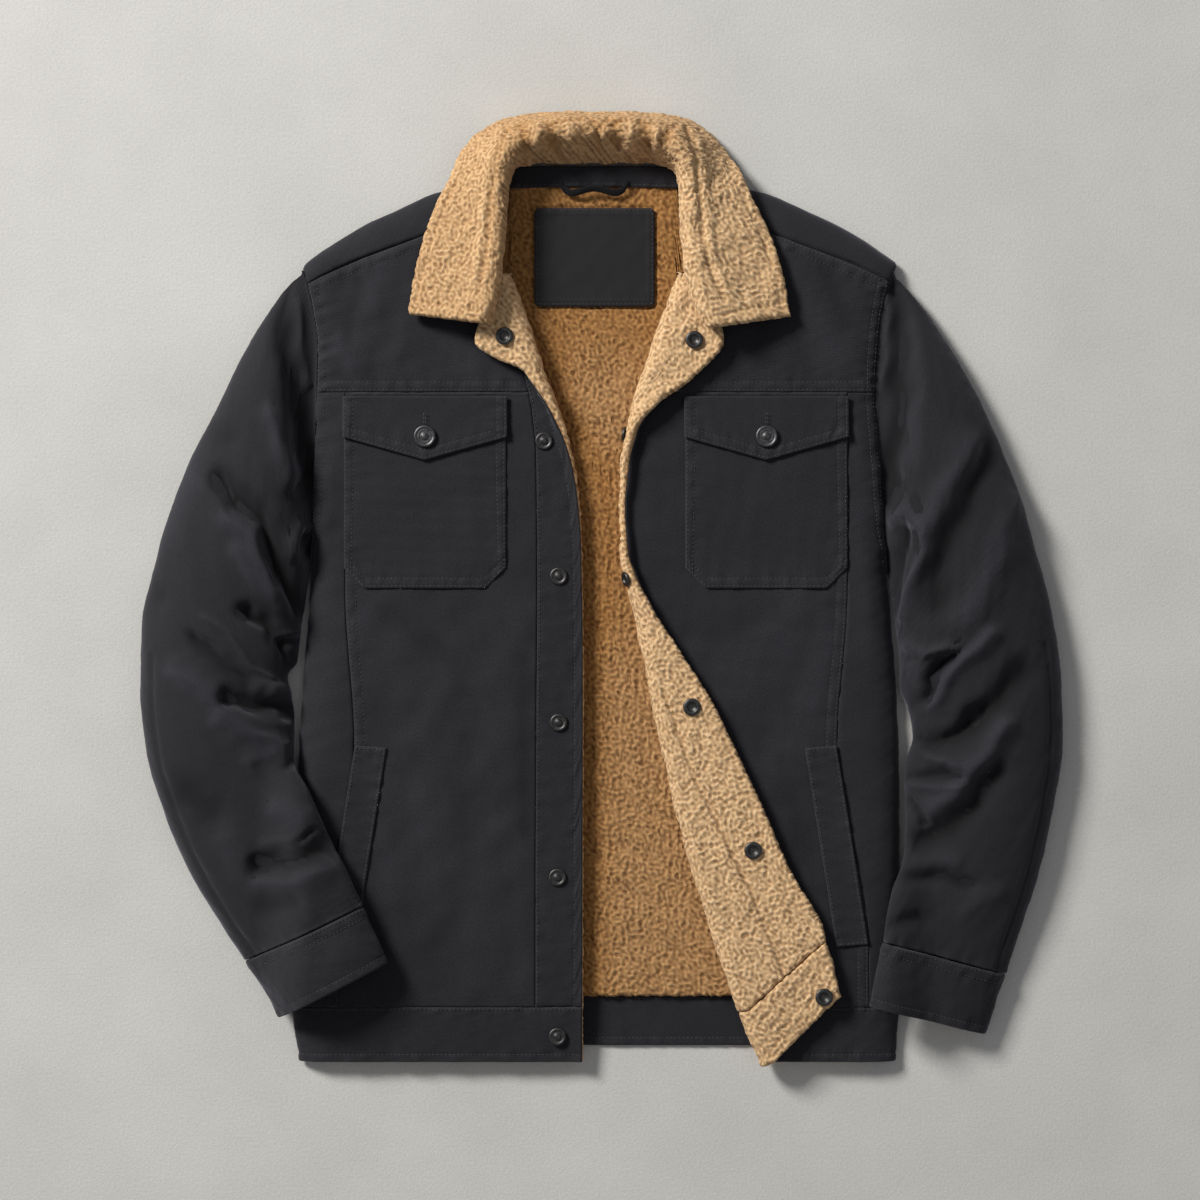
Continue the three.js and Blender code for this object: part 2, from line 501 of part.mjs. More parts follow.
// A front's rolled edge: where it starts, and its layers round the roll and turned back beyond it
function edgeRoll(table, out) {
  const edge = curves(table, "y", "fold", "turn", "back");
  const frame = (y) => {
    const slope = (edge.fold(y + 1) - edge.fold(y - 1)) / 2;
    const along = new THREE.Vector2(-slope, -1).normalize();
    const turn = radians(edge.turn(y));
    const radius = ROLL_LENGTH / turn;
    const upright = Math.min(turn, Math.PI / 2);
    const reach = (radius + STACK) * Math.sin(upright) + edge.back(y) * Math.cos(upright);
    const flat = new THREE.Vector2(-out, 0);
    const turnedBack = along.clone().multiplyScalar(2 * along.dot(flat)).sub(flat);
    const outward = new THREE.Vector2(out * along.y, -out * along.x);
    return { turn, radius, x: edge.fold(y) + out * reach, turnedBack, outward, back: edge.back(y) };
  };
  // share runs from 0 at the start of the roll to 1 at its end, and on to 2 at the cloth's edge.
  const place = (y, share, depth) => {
    const { turn, radius, x, turnedBack, outward, back } = frame(y);
    const angle = turn * Math.min(share, 1);
    const beyond = back * Math.max(share - 1, 0);
    const away = (radius + depth) * Math.sin(angle);
    const level = Math.cos(angle);
    const leg = level < 0 ? turnedBack : outward;
    const px = x + outward.x * away + leg.x * Math.abs(level) * beyond;
    const py = y + outward.y * away + leg.y * Math.abs(level) * beyond;
    const start = bodyTop(x, y);
    const follow = Math.max(0, -level) * clamp(share - 1) * (bodyTop(px, py) - start);
    const z = start + radius - (radius + depth) * level + beyond * Math.sin(angle) + follow;
    return point(px, py, z);
  };
  return { start: (y) => frame(y).x, place };
}

const rolls = { right: edgeRoll(RIGHT_EDGE, -1), left: edgeRoll(LEFT_EDGE, 1) };
const seams = { right: curves(RIGHT_SEAMS, "y", "placket", "side"), left: curves(LEFT_SEAMS, "y", "side") };
const yokeNeck = curves(YOKE_NECK, "y", "right", "left");
const yokeNeckOut = (side) => Math.abs(yokeNeck[side](YOKE_NECK[0].y));

// How far out a station along the shoulder lies
const shoulderAcross = (side, share, y = SHOULDER_TIP) =>
  mix(Math.abs(body[side](y)), yokeNeckOut(side), share);

// Rows of a front between two seams.
const frontRows = (side, from, to) => [from, ...(side === "left" ? LEFT_ROWS : RIGHT_ROWS), to];

// A layer of a front from an outer seam round its rolled edge to the cloth's edge.
// under is the height that its flat part lies below.
function frontLayer(side, rows, outer, flatColumns, face, back, under = bodyTop) {
  const { start, place } = rolls[side];
  const columns = [
    ...steps(flatColumns).map((share) => ({ flat: share })),
    ...[...ROLL_COLUMNS, ...TURNED_COLUMNS].map((share) => ({ rolled: share })),
  ];
  const layer = (depth) =>
    grid(rows, columns, (y, { flat, rolled }) => {
      if (flat === undefined) return place(y, rolled, depth);
      const x = mix(outer(y), start(y), flat);
      return point(x, y, under(x, y) - depth);
    });
  return wall(layer(face), layer(back));
}

// Shell of one front, from the yoke seam down to the hem band
function frontPanel(side) {
  const out = side === "left" ? 1 : -1;
  const outer = (y) => seams[side].side(y) - (out * SEAM) / 2;
  const rows = frontRows(side, YOKE_SEAM - SEAM / 2, HEM_SEAM + SEAM / 2);
  if (side === "left") return frontLayer(side, rows, outer, 6, 0, SHELL);
  const inner = (y) => seams.right.placket(y) - SEAM / 2;
  const layer = (depth) =>
    grid(rows, steps(7), (y, share) => onBody(mix(outer(y), inner(y), share), y, depth));
  return wall(layer(0), layer(SHELL));
}

function frontSide(side) {
  const out = side === "left" ? 1 : -1;
  const rows = frontRows(side, YOKE_SEAM - SEAM / 2, HEM_SEAM + SEAM / 2);
  const inner = (y) => seams[side].side(y) + (out * SEAM) / 2;
  const layer = (depth) =>
    rows.map((y) => {
      const widest = sideAngle(inner(y), y);
      const curved = SIDE_SHARES.map((share) => sidePoint(side, y, share * widest, depth));
      return [...curved, onBody(inner(y), y, depth)];
    });
  return wall(layer(0), layer(SHELL));
}

function placketRight() {
  const outer = (y) => seams.right.placket(y) + SEAM / 2;
  const rows = [...LAPEL_ROWS, ...frontRows("right", YOKE_SEAM, HEM_SEAM + SEAM / 2)];
  return frontLayer("right", rows, outer, 2, 0, SHELL);
}

function placketLeftTop() {
  const outer = (y) => rolls.left.start(y) + LAPEL_STRIP;
  return frontLayer("left", [...LAPEL_ROWS, YOKE_SEAM + SEAM / 2], outer, 1, 0, SHELL);
}

function frontYoke(side) {
  const neck = (y) => {
    if (y > LAPEL_TOP) return yokeNeck[side](y);
    return side === "left" ? rolls.left.start(y) + LAPEL_STRIP + SEAM : seams.right.placket(y) - SEAM / 2;
  };
  const rows = [...YOKE_ROWS, ...LAPEL_ROWS, YOKE_SEAM + SEAM / 2];
  const top = shoulder.seam(yokeNeckOut(side));
  const down = [top, ...rows].map((y) => (top - y) / (top - YOKE_SEAM - SEAM / 2));
  const layer = (depth) =>
    grid(down, SHOULDER_SHARES, (drop, share) => {
      const high = shoulder.seam(shoulderAcross(side, share)) - SEAM / 2;
      const y = mix(high, YOKE_SEAM + SEAM / 2, drop);
      if (share === 0) return sidePoint(side, y, 0, depth);
      const armhole = body[side](mix(SHOULDER_TIP, YOKE_SEAM, drop));
      return onBody(mix(armhole, neck(mix(top, YOKE_SEAM, drop)), share), y, depth);
    });
  return wall(layer(0), layer(SHELL));
}

// The back yoke's forward part, which rolls over the shoulder from the surface up to the front yoke.
function shoulderPiece(side) {
  const out = side === "left" ? 1 : -1;
  const layer = (depth) =>
    grid(SHOULDER_SHARES, steps(4), (share, round) => {
      const across = shoulderAcross(side, share);
      const angle = round * (Math.PI / 2);
      const fold = shoulder.fold(across);
      const width = fold - shoulder.seam(across) - SEAM / 2;
      const top = bodyTop(out * across, fold - width);
      const high = Math.max(top - SIDE_LOW, SHOULDER_LEAST);
      const up = Math.sin(angle) / high;
      const back = Math.cos(angle) / width;
      const long = Math.hypot(up, back);
      const y = fold - width * (1 - Math.cos(angle)) - (depth * back) / long;
      const x = out * shoulderAcross(side, share, y);
      return point(x, y, SIDE_LOW + high * Math.sin(angle) - (depth * up) / long);
    });
  return wall(layer(0), layer(SHELL));
}

// Fleece lies a little loose behind the shell, without its folds.
const liningUnder = (x, y) => crownAt(x, y) - LOOSE;

// Fleece behind a front, which comes round the rolled edge with the shell
function frontLining(side) {
  const out = side === "left" ? 1 : -1;
  const outer = (y) => body[side](y) - out * LINING_INSET;
  const end = side === "left" ? [HEM_SEAM + SEAM / 2] : [HEM_SEAM, HEM_EDGE + LINING_SHORT];
  const rows = [...LAPEL_ROWS, ...frontRows(side, YOKE_SEAM, end[0]), ...end.slice(1)];
  return frontLayer(side, rows, outer, 3, STACK, LINING_FACE, liningUnder);
}

function hemBand(side) {
  const out = side === "left" ? 1 : -1;
  const rows = steps(3, HEM_SEAM - SEAM / 2, HEM_EDGE);
  const { start, place } = rolls[side];
  const layer = (depth) =>
    rows.map((y) => {
      const inner = body[side](y) - out * SIDE_ROUND;
      return [
        ...SIDE_SHARES.map((share) => sidePoint(side, y, share * (Math.PI / 2), depth)),
        ...steps(6).map((share) => onBody(mix(inner, start(y), share), y, depth)),
        ...[...ROLL_COLUMNS, ...TURNED_COLUMNS].map((share) => place(y, share, depth)),
      ];
    });
  return wall(layer(0), layer(SHELL));
}

function hemFacingLeft() {
  const outer = (y) => body.left(y) - LINING_INSET;
  const rows = steps(3, HEM_SEAM - SEAM / 2, HEM_EDGE);
  return frontLayer("left", rows, outer, 3, STACK, LINING_FACE, liningUnder);
}

// Back, lying flat under everything
function backOutline(x, inset) {
  const line = shoulder.fold(Math.max(Math.abs(x), NECK_ACROSS)) - inset;
  return mix(NECK_SEAM - 1, line, soft((Math.abs(x - NECK_MIDDLE) - NECK_HALF) / NECK_CORNER));
}

function backSheet(low, high, inset) {
  const layer = (z) =>
    grid(BACK_ROWS, BACK_COLUMNS, (down, share) => {
      const right = (y) => body.right(y) + inset;
      const left = (y) => body.left(y) - inset;
      const guess = mix(right(SHOULDER_LINE), left(SHOULDER_LINE), share);
      const y = mix(backOutline(guess, inset + 1), BACK_HEM_SEAM + SEAM / 2, down);
      return point(mix(right(y), left(y), share), y, z);
    });
  return wall(layer(high), layer(low));
}

const backPanel = () => backSheet(0, SHELL, BACK_INSET);
const backLining = () => backSheet(BACK_LINING_LOW, BACK_LINING_TOP, BACK_LINING_INSET);

function hemBandBack() {
  const layer = (z) =>
    grid([BACK_HEM_SEAM - SEAM / 2, BACK_HEM_EDGE], steps(10), (y, share) =>
      point(mix(body.right(y) + BACK_HEM_INSET, body.left(y) - BACK_HEM_INSET, share), y, z),
    );
  return wall(layer(BAND), layer(0));
}

// Sleeves lie on the surface beside the body, and their ends ramp up and rest on it
function restHeight(x, y) {
  const side = x < 0 ? "right" : "left";
  const inside = side === "right" ? x - body.right(y) : body.left(y) - x;
  const along = soft((REST_FROM[side] - y) / REST_RUN);
  return REST_HEIGHT * soft((inside + REST_OUTSIDE) / REST_WIDTH) * along;
}

// A section of a sleeve: the point at an angle round it, depth in from its face.
function sleeveSection(table) {
  const names = ["ox", "oy", "ix", "iy", "rise"];
  const section = curves(table, "t", ...names);
  return (t, degrees, depth) => {
    const outer = point(section.ox(t), section.oy(t), 0);
    const inner = point(section.ix(t), section.iy(t), 0);
    const middle = outer.clone().lerp(inner, 0.5);
    const half = inner.clone().sub(outer).multiplyScalar(0.5);
    const width = half.length();
    const angle = radians(degrees);
    const rise = Math.max(section.rise(t) - WIDEST, 0);
    const high = Math.sin(angle) > 0 ? rise : (WIDEST - SIDE_LOW) / Math.sin(radians(TOP_WRAP));
    const steep = Math.sin(angle) / Math.max(high, LEAST_RISE);
    const normal = point(Math.cos(angle) / width, steep, 0).normalize();
    const across = -Math.cos(angle) * (1 - (depth * normal.x) / (width * Math.cos(angle) || 1));
    const place = middle.add(half.multiplyScalar(across));
    const lift = WIDEST + high * Math.sin(angle) - depth * normal.y;
    place.z = restHeight(place.x, place.y) + lift;
    return place;
  };
}

// How much of a sleeve's own shape shows at a section: none at the armhole, where it takes the body's.
const sleeveFree = (t) => soft(t / ARMHOLE_BLEND);

// How far down the armhole an angle of the sleeve's round is sewn, as a share of its length.
function armholeShare(degrees) {
  const over = clamp(degrees / 180);
  const wrapped = (degrees - 180 * over) / TOP_WRAP;
  return mix(ARMHOLE_ENDS, 1 - ARMHOLE_ENDS, (1 - Math.cos(Math.PI * over)) / 2) + ARMHOLE_ENDS * wrapped;
}

function sleeveTop(side) {
  const table = side === "left" ? LEFT_SLEEVE : RIGHT_SLEEVE;
  const out = side === "left" ? 1 : -1;
  const at = sleeveSection(table);
  const rows = [...steps(3, 0, 1), ...steps(18, 1, 12).slice(1)];
  const layer = (depth) =>
    grid(rows, SLEEVE_ROUND, (t, degrees) => {
      const place = at(t, degrees, depth);
      const free = sleeveFree(t);
      const crest = Math.max(0, Math.sin(radians(degrees)));
      place.z += foldHeight(SLEEVE_FOLDS, place.x, place.y) * crest * free;
      const seamY = mix(table[0].oy, table[0].iy, armholeShare(degrees));
      const seam = point(body[side](seamY) + out * ARMHOLE_GAP, seamY, sideLow(seamY) - depth);
      return seam.lerp(place, free);
    });
  return wall(layer(0), layer(SHELL));
}

function sleeveUnder(side) {
  const table = side === "left" ? LEFT_SLEEVE : RIGHT_SLEEVE;
  const out = side === "left" ? 1 : -1;
  const section = curves(table, "t", "ox", "oy", "ix", "iy");
  const rows = steps(14, 0, 12);
  const layer = (z) =>
    grid(rows, UNDER_COLUMNS, (t, share) => {
      const s = mix(UNDER_INSET, 1 - UNDER_INSET, share);
      const x = mix(section.ox(t), section.ix(t), s);
      const y = mix(section.oy(t), section.iy(t), s);
      const seamY = mix(table[0].oy - UNDER_SHORT, table[0].iy, share);
      const seamX = body[side](seamY) + out * UNDER_START;
      const free = sleeveFree(t);
      return point(mix(seamX, x, free), mix(seamY, y, free), restHeight(x, y) * free + z);
    });
  return wall(layer(SHELL), layer(0));
}

// A closed ring round a sleeve's end, from one depth to another in from the cuff's face.
function cuffRing(table, from, to, face, back) {
  const at = sleeveSection(table);
  const floorPart = steps(5).slice(1, -1);
  const ring = (depth) =>
    steps(3, from, to).map((t) => {
      const over = SLEEVE_ROUND.map((degrees) => at(t, degrees, depth));
      const first = over[0];
      const last = over[over.length - 1];
      const under = floorPart.map((share) => {
        const place = last.clone().lerp(first, share);
        place.z = restHeight(place.x, place.y) + depth;
        return place;
      });
      over[0] = first.clone().setZ(restHeight(first.x, first.y) + depth + CUFF_CORNER);
      over[over.length - 1] = last.clone().setZ(restHeight(last.x, last.y) + depth + CUFF_CORNER);
      return [...over, ...under];
    });
  return wall(ring(face), ring(back), true);
}

const cuffTables = { right: RIGHT_CUFF, left: LEFT_CUFF };
const cuff = (side) => cuffRing(cuffTables[side], 0, 2, 0, SHELL);

function cuffLining(side) {
  const inner = CUFF_LINING_FACE + CUFF_PILE;
  return cuffRing(cuffTables[side], CUFF_LINING_FROM, CUFF_LINING_TO, CUFF_LINING_FACE, inner);
}

// Collar: a belt of cloth from the neck seam up over a roll and down to its edge
const collarShape = curves(COLLAR, "t", "sx", "sy", "ex", "ey", "roll", "rollZ", "seamZ", "edgeZ");

function collarSection(t, depth) {
  const seam = point(collarShape.sx(t), collarShape.sy(t), 0);
  const out = point(collarShape.ex(t), collarShape.ey(t), 0).sub(seam);
  const edge = new THREE.Vector2(out.length(), collarShape.edgeZ(t));
  const start = new THREE.Vector2(0, collarShape.seamZ(t));
  const centre = new THREE.Vector2(collarShape.roll(t), collarShape.rollZ(t));
  out.normalize();
  const tangentAngle = (end, way) => {
    const reach = end.clone().sub(centre);
    const far = Math.max(reach.length(), COLLAR_ROLL * COLLAR_CLEAR);
    return Math.atan2(reach.y, reach.x) + way * Math.acos(COLLAR_ROLL / far);
  };
  const from = (tangentAngle(start, -1) + 2 * Math.PI) % (2 * Math.PI);
  const to = tangentAngle(edge, 1);
  const place = (d, z) => point(seam.x + out.x * d, seam.y + out.y * d, z);
  const inward = (angle) => new THREE.Vector2(-Math.cos(angle), -Math.sin(angle)).multiplyScalar(depth);
  const onRoll = (angle, radius) =>
    new THREE.Vector2(Math.cos(angle), Math.sin(angle)).multiplyScalar(radius).add(centre);
  const line = (end, angle, share) =>
    end.clone().lerp(onRoll(angle, COLLAR_ROLL), share).add(inward(angle));
  const flat = [
    ...COLLAR_STAND.map((share) => line(start, from, share)),
    ...steps(4).map((share) => onRoll(mix(from, to, share), COLLAR_ROLL - depth)),
    ...COLLAR_LEAF.map((share) => line(edge, to, share)),
  ];
  return flat.map((p) => place(p.x, p.y));
}

function collarLayer(face, back, { from, to }) {
  const rows = steps(COLLAR_STEPS, from, to);
  return wall(
    rows.map((t) => collarSection(t, face)),
    rows.map((t) => collarSection(t, back)),
  );
}

const collarUpper = () => collarLayer(0, COLLAR_PILE, COLLAR_ENDS);
const collarUnder = () => collarLayer(COLLAR_PILE + SEAM, COLLAR_PILE + SEAM + SHELL, COLLAR_UNDER_ENDS);

// Pieces that lie on a panel, made from its points and moved out
function lying(rows, columns, place, thick) {
  const layer = (depth) =>
    grid(rows, columns, (row, column) => {
      const { x, y, lift } = place(row, column);
      return onBody(x, y, -SEAM - lift - depth);
    });
  return wall(layer(thick), layer(0));
}

function pocket({ x1, x2 }) {
  const corner = POCKET_CORNER / (x2 - x1);
  const columns = [0, corner, 0.25, 0.5, 0.75, 1 - corner, 1];
  const bottom = (share) =>
    POCKET_BOTTOM + POCKET_CORNER * Math.max(0, 1 - Math.min(share, 1 - share) / corner);
  return lying(steps(6), columns, (down, share) => ({
    x: mix(x1, x2, share),
    y: mix(POCKET_TOP, bottom(share), down),
    lift: 0,
  }), SHELL);
}

function flapAt(x1, x2, down, share) {
  const point = 1 - Math.abs(2 * share - 1);
  const bottom = mix(FLAP_SIDE, FLAP_POINT, point);
  const lift = SHELL + SEAM + FLAP_LIFT * down * down;
  const x = mix(x1 - FLAP_WIDER, x2 + FLAP_WIDER, share);
  return { x, y: mix(POCKET_TOP + FLAP_WIDER, bottom, down), lift };
}

const flap = ({ x1, x2 }) => lying(steps(3), steps(8), (down, share) => flapAt(x1, x2, down, share), SHELL);

function welt({ x, y, lean, width }) {
  return lying(steps(8), steps(2), (down, share) => ({
    x: x + lean * down + width * share,
    y: y - WELT_LENGTH * down - WELT_SKEW * share,
    lift: WELT_SEAT + WELT_LIFT * (1 - share) ** 2 * Math.sin(Math.PI * down),
  }), SHELL);
}

// Round metal pieces, turned about their own axis
function turned(profile, size = 1) {
  return new THREE.LatheGeometry(profile.map(({ r, z }) => new THREE.Vector2(r * size, z)), LATHE_SIDES);
}


// A turned piece set on a face: its base just clear of the place, its axis along the face's normal.
function setOn(piece, place, normal, gap) {
  const turn = new THREE.Quaternion().setFromUnitVectors(UP, normal);
  const geometry = piece.rotateX(Math.PI / 2).applyQuaternion(turn);
  const base = place.clone().addScaledVector(normal, gap);
  return geometry.translate(base.x, base.y, base.z);
}

// Highest place of a surface under a disc, so that a flat base clears it.
function clearOver(height, x, y, radius) {
  const ring = steps(12).flatMap((share) => [0.5, 1].map((r) => [share * 2 * Math.PI, r * radius]));
  return Math.max(height(x, y), ...ring.map(([a, r]) => height(x + r * Math.cos(a), y + r * Math.sin(a))));
}

// Height of the fleece that is turned back flat on a front
const turnedBackTop = (x, y) => bodyTop(x, y) + (2 * ROLL_LENGTH) / Math.PI + STACK;

function snap(side, { x, y, on, share }) {
  if (on === "roll") {
    const place = rolls[side].place(y, share, STACK);
    const normal = rolls[side].place(y, share, STACK + 1).sub(place).normalize();
    return setOn(turned(SNAP_SOCKET, ROLLED_SNAP), place, normal, ROLL_SEAT);
  }
  const height = clearOver(on === "fleece" ? turnedBackTop : bodyTop, x, y, SNAP_RADIUS);
  return setOn(turned(on === "fleece" ? SNAP_SOCKET : SNAP_STUD), point(x, y, height), UP, METAL_SEAT);
}

function flapButton({ x1, x2 }) {
  const x = mix(x1, x2, 0.5);
  const height = (px, py) => {
    const down = (POCKET_TOP + FLAP_WIDER - py) / (POCKET_TOP - FLAP_POINT);
    return bodyTop(px, py) + SEAM + flapAt(x1, x2, clamp(down), 0.5).lift + SHELL;
  };
  const top = clearOver(height, x, BUTTON_Y, BUTTON_RADIUS);
  return setOn(turned(BUTTON), point(x, BUTTON_Y, top), UP, METAL_SEAT);
}

// Inside of the neck: a facing strip, a hanging loop and a plain label
function neckFacing() {
  const { x1, x2, top, bottom, sag, ripple, waves } = NECK_STRIP;
  const layer = (z) =>
    grid(steps(2), steps(8), (down, share) => {
      const low = bottom + sag * Math.sin(Math.PI * share);
      return point(mix(x1, x2, share), mix(top, low, down), z + ripple * Math.sin(share * waves) ** 2);
    });
  return wall(layer(BACK_LINING_TOP + SEAM + SHELL), layer(BACK_LINING_TOP + SEAM));
}

function hangingLoop() {
  const { x1, x2, drop, thick, half, rise, gap } = LOOP;
  const base = BACK_LINING_TOP + SEAM + SHELL + gap;
  const section = [[-half, 0], [half, 0], [half, thick], [-half, thick]];
  const ring = steps(12).map((share) => {
    const arch = Math.sin(Math.PI * share);
    const place = point(mix(x1, x2, share), LOOP.y - drop * arch, base + rise * arch);
    return section.map(([dy, dz]) => place.clone().add(point(0, dy, dz)));
  });
  return capped(ring);
}

// A bar through a row of four-sided sections, closed at both ends.
function capped(rings) {
  const sides = rings[0].length;
  const index = [];
  const at = (i, j) => i * sides + (j % sides);
  for (let i = 0; i < rings.length - 1; i++) {
    for (let j = 0; j < sides; j++) {
      index.push(at(i, j), at(i + 1, j), at(i + 1, j + 1), at(i, j), at(i + 1, j + 1), at(i, j + 1));
    }
  }
  const end = rings.length - 1;
  index.push(at(0, 0), at(0, 1), at(0, 2), at(0, 0), at(0, 2), at(0, 3));
  index.push(at(end, 0), at(end, 2), at(end, 1), at(end, 0), at(end, 3), at(end, 2));
  return facingOut(rings.flat(), index);
}

function label() {
  const { x1, x2, y1, y2, thick, corner } = LABEL;
  const shape = new THREE.Shape();
  shape.moveTo(x1 + corner, y1);
  shape.lineTo(x2 - corner, y1);
  shape.absarc(x2 - corner, y1 + corner, corner, -Math.PI / 2, 0);
  shape.lineTo(x2, y2 - corner);
  shape.absarc(x2 - corner, y2 - corner, corner, 0, Math.PI / 2);
  shape.lineTo(x1 + corner, y2);
  shape.absarc(x1 + corner, y2 - corner, corner, Math.PI / 2, Math.PI);
  shape.lineTo(x1, y1 + corner);
  shape.absarc(x1 + corner, y1 + corner, corner, Math.PI, 1.5 * Math.PI);
  const geometry = new THREE.ExtrudeGeometry(shape, { depth: thick, bevelEnabled: false, curveSegments: 4 });
  return geometry.translate(0, 0, BACK_LINING_TOP + SEAM);
}

const finish = (color, roughness, metalness = 0) =>
  new THREE.MeshStandardMaterial({ color, roughness, metalness });
const TWILL = finish(0x2b2b30, 0.85);
const FLEECE = finish(0xc79a62, 0.95);
const METAL = finish(0x55565a, 0.35, 1);
const LABEL_CLOTH = finish(0x222226, 0.6);

const jacket = new THREE.Group();

function add(name, geometry, material) {
  const mesh = new THREE.Mesh(geometry, material);
  mesh.name = name;
  jacket.add(mesh);
}

add("back_panel", backPanel(), TWILL);
add("back_lining", backLining(), FLEECE);
add("hem_band_back", hemBandBack(), TWILL);
add("placket_right", placketRight(), TWILL);
add("placket_left_top", placketLeftTop(), TWILL);
add("hem_facing_left", hemFacingLeft(), FLEECE);
for (const side of ["right", "left"]) {
  add(`shoulder_${side}`, shoulderPiece(side), TWILL);
  add(`yoke_${side}`, frontYoke(side), TWILL);
  add(`front_${side}_panel`, frontPanel(side), TWILL);
  add(`front_${side}_side`, frontSide(side), TWILL);
  add(`front_${side}_lining`, frontLining(side), FLEECE);
  add(`hem_band_${side}`, hemBand(side), TWILL);
  add(`sleeve_${side}_top`, sleeveTop(side), TWILL);
  add(`sleeve_${side}_under`, sleeveUnder(side), TWILL);
  add(`cuff_${side}`, cuff(side), TWILL);
  add(`cuff_${side}_lining`, cuffLining(side), FLEECE);
}
add("collar_upper", collarUpper(), FLEECE);
add("collar_under", collarUnder(), TWILL);
POCKETS.forEach((row) => {
  add(`pocket_${row.side}`, pocket(row), TWILL);
  add(`flap_${row.side}`, flap(row), TWILL);
  add(`flap_button_${row.side}`, flapButton(row), METAL);
});
WELTS.forEach((row) => add(`welt_${row.side}`, welt(row), TWILL));
RIGHT_SNAPS.forEach((row, i) => add(`snap_right_${i + 1}`, snap("right", row), METAL));
LEFT_SNAPS.forEach((row, i) => add(`snap_left_${i + 1}`, snap("left", row), METAL));
add("neck_facing", neckFacing(), TWILL);
add("hanging_loop", hangingLoop(), TWILL);
add("label", label(), LABEL_CLOTH);

// The frame's origin is the middle of the footprint, on the surface.
const extent = new THREE.Box3().setFromObject(jacket);
const middle = extent.getCenter(new THREE.Vector3());
jacket.position.set(-middle.x, -middle.y, -extent.min.z);

export default jacket;
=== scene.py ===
"""A sherpa lined jacket that lies open on a pale floor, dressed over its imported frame.

Shapes are worked out in millimetres from the same sizes as the part's source, and turned into
metres when a mesh is made. X runs across the jacket, Y up it to the collar, Z rises from the floor.
Right and left are the wearer's.
"""

import logging
import math
from dataclasses import dataclass, field
from enum import Enum
from typing import Callable, Optional, Sequence

import bpy
import numpy as np
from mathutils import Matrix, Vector


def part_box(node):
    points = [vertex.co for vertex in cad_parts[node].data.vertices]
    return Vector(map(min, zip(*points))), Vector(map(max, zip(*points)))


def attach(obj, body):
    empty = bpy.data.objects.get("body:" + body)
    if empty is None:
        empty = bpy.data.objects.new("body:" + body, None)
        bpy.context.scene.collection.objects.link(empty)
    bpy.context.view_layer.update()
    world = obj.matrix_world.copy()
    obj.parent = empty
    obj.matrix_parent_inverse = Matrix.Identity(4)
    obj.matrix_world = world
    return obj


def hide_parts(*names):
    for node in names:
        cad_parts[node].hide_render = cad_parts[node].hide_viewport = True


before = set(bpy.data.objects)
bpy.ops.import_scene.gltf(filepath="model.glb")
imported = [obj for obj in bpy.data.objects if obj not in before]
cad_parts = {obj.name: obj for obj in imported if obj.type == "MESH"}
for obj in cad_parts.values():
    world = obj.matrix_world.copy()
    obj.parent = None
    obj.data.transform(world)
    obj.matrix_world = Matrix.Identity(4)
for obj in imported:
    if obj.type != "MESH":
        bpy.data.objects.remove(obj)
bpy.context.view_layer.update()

logging.basicConfig(level=logging.INFO, format="%(message)s")
log = logging.getLogger("jacket")

Array = np.ndarray
Height = Callable[[Array, Array], Array]

MM = 0.001
FOOTPRINT = (-1.218, -0.994)  # from the pattern's origin to the middle of the footprint

# Cloths and gaps, in millimetres
SHELL = 1.6
PILE = 6.5
COLLAR_PILE = 6.0
CUFF_PILE = 2.6
CUFF_LINING_FACE = 2.5
SEAM = 0.3
BAND = 3.2
LINING_FACE = SHELL + SEAM
LINING_INSET = 28.0
LOOSE = 0.5
STACK = LINING_FACE + PILE
BACK_LINING_TOP = SHELL + SEAM + PILE
SIDE_LOW = 3.6
ARMHOLE_LOW = 12.0
SIDE_ROUND = 26.0
SHOULDER_DROP = 0.8
SHOULDER_SOFT = 5.0

# Places along the length
YOKE_SEAM = 162.0
HEM_SEAM = -343.0
HEM_EDGE = -388.5
BACK_HEM_SEAM = -335.0
BACK_HEM_EDGE = -376.0
LAPEL_TOP = 258.0
NECK_SEAM = 350.0
UNDERARM = 10.0
SHOULDER_TIP = 251.4
SHOULDER_LINE = 270.0
LAPEL_STRIP = 5.6
ROLL_LENGTH = 6.3


def mix(a: Array, b: Array, share: Array) -> Array:
    """A value between two others, at a share of the way."""
    return a + (b - a) * share


def soft(t: Array) -> Array:
    """A smooth step from 0 at 0 to 1 at 1."""
    t = np.clip(t, 0.0, 1.0)
    return t * t * (3.0 - 2.0 * t)


def grid(rows: Array, columns: Array) -> tuple[Array, Array]:
    """Two arrays of one value for each row and each column of a grid."""
    return np.broadcast_arrays(np.asarray(rows, float)[:, None], np.asarray(columns, float)[None, :])


def stack(x: Array, y: Array, z: Array) -> Array:
    """Points from their three coordinates."""
    return np.stack(np.broadcast_arrays(x, y, z), axis=-1)


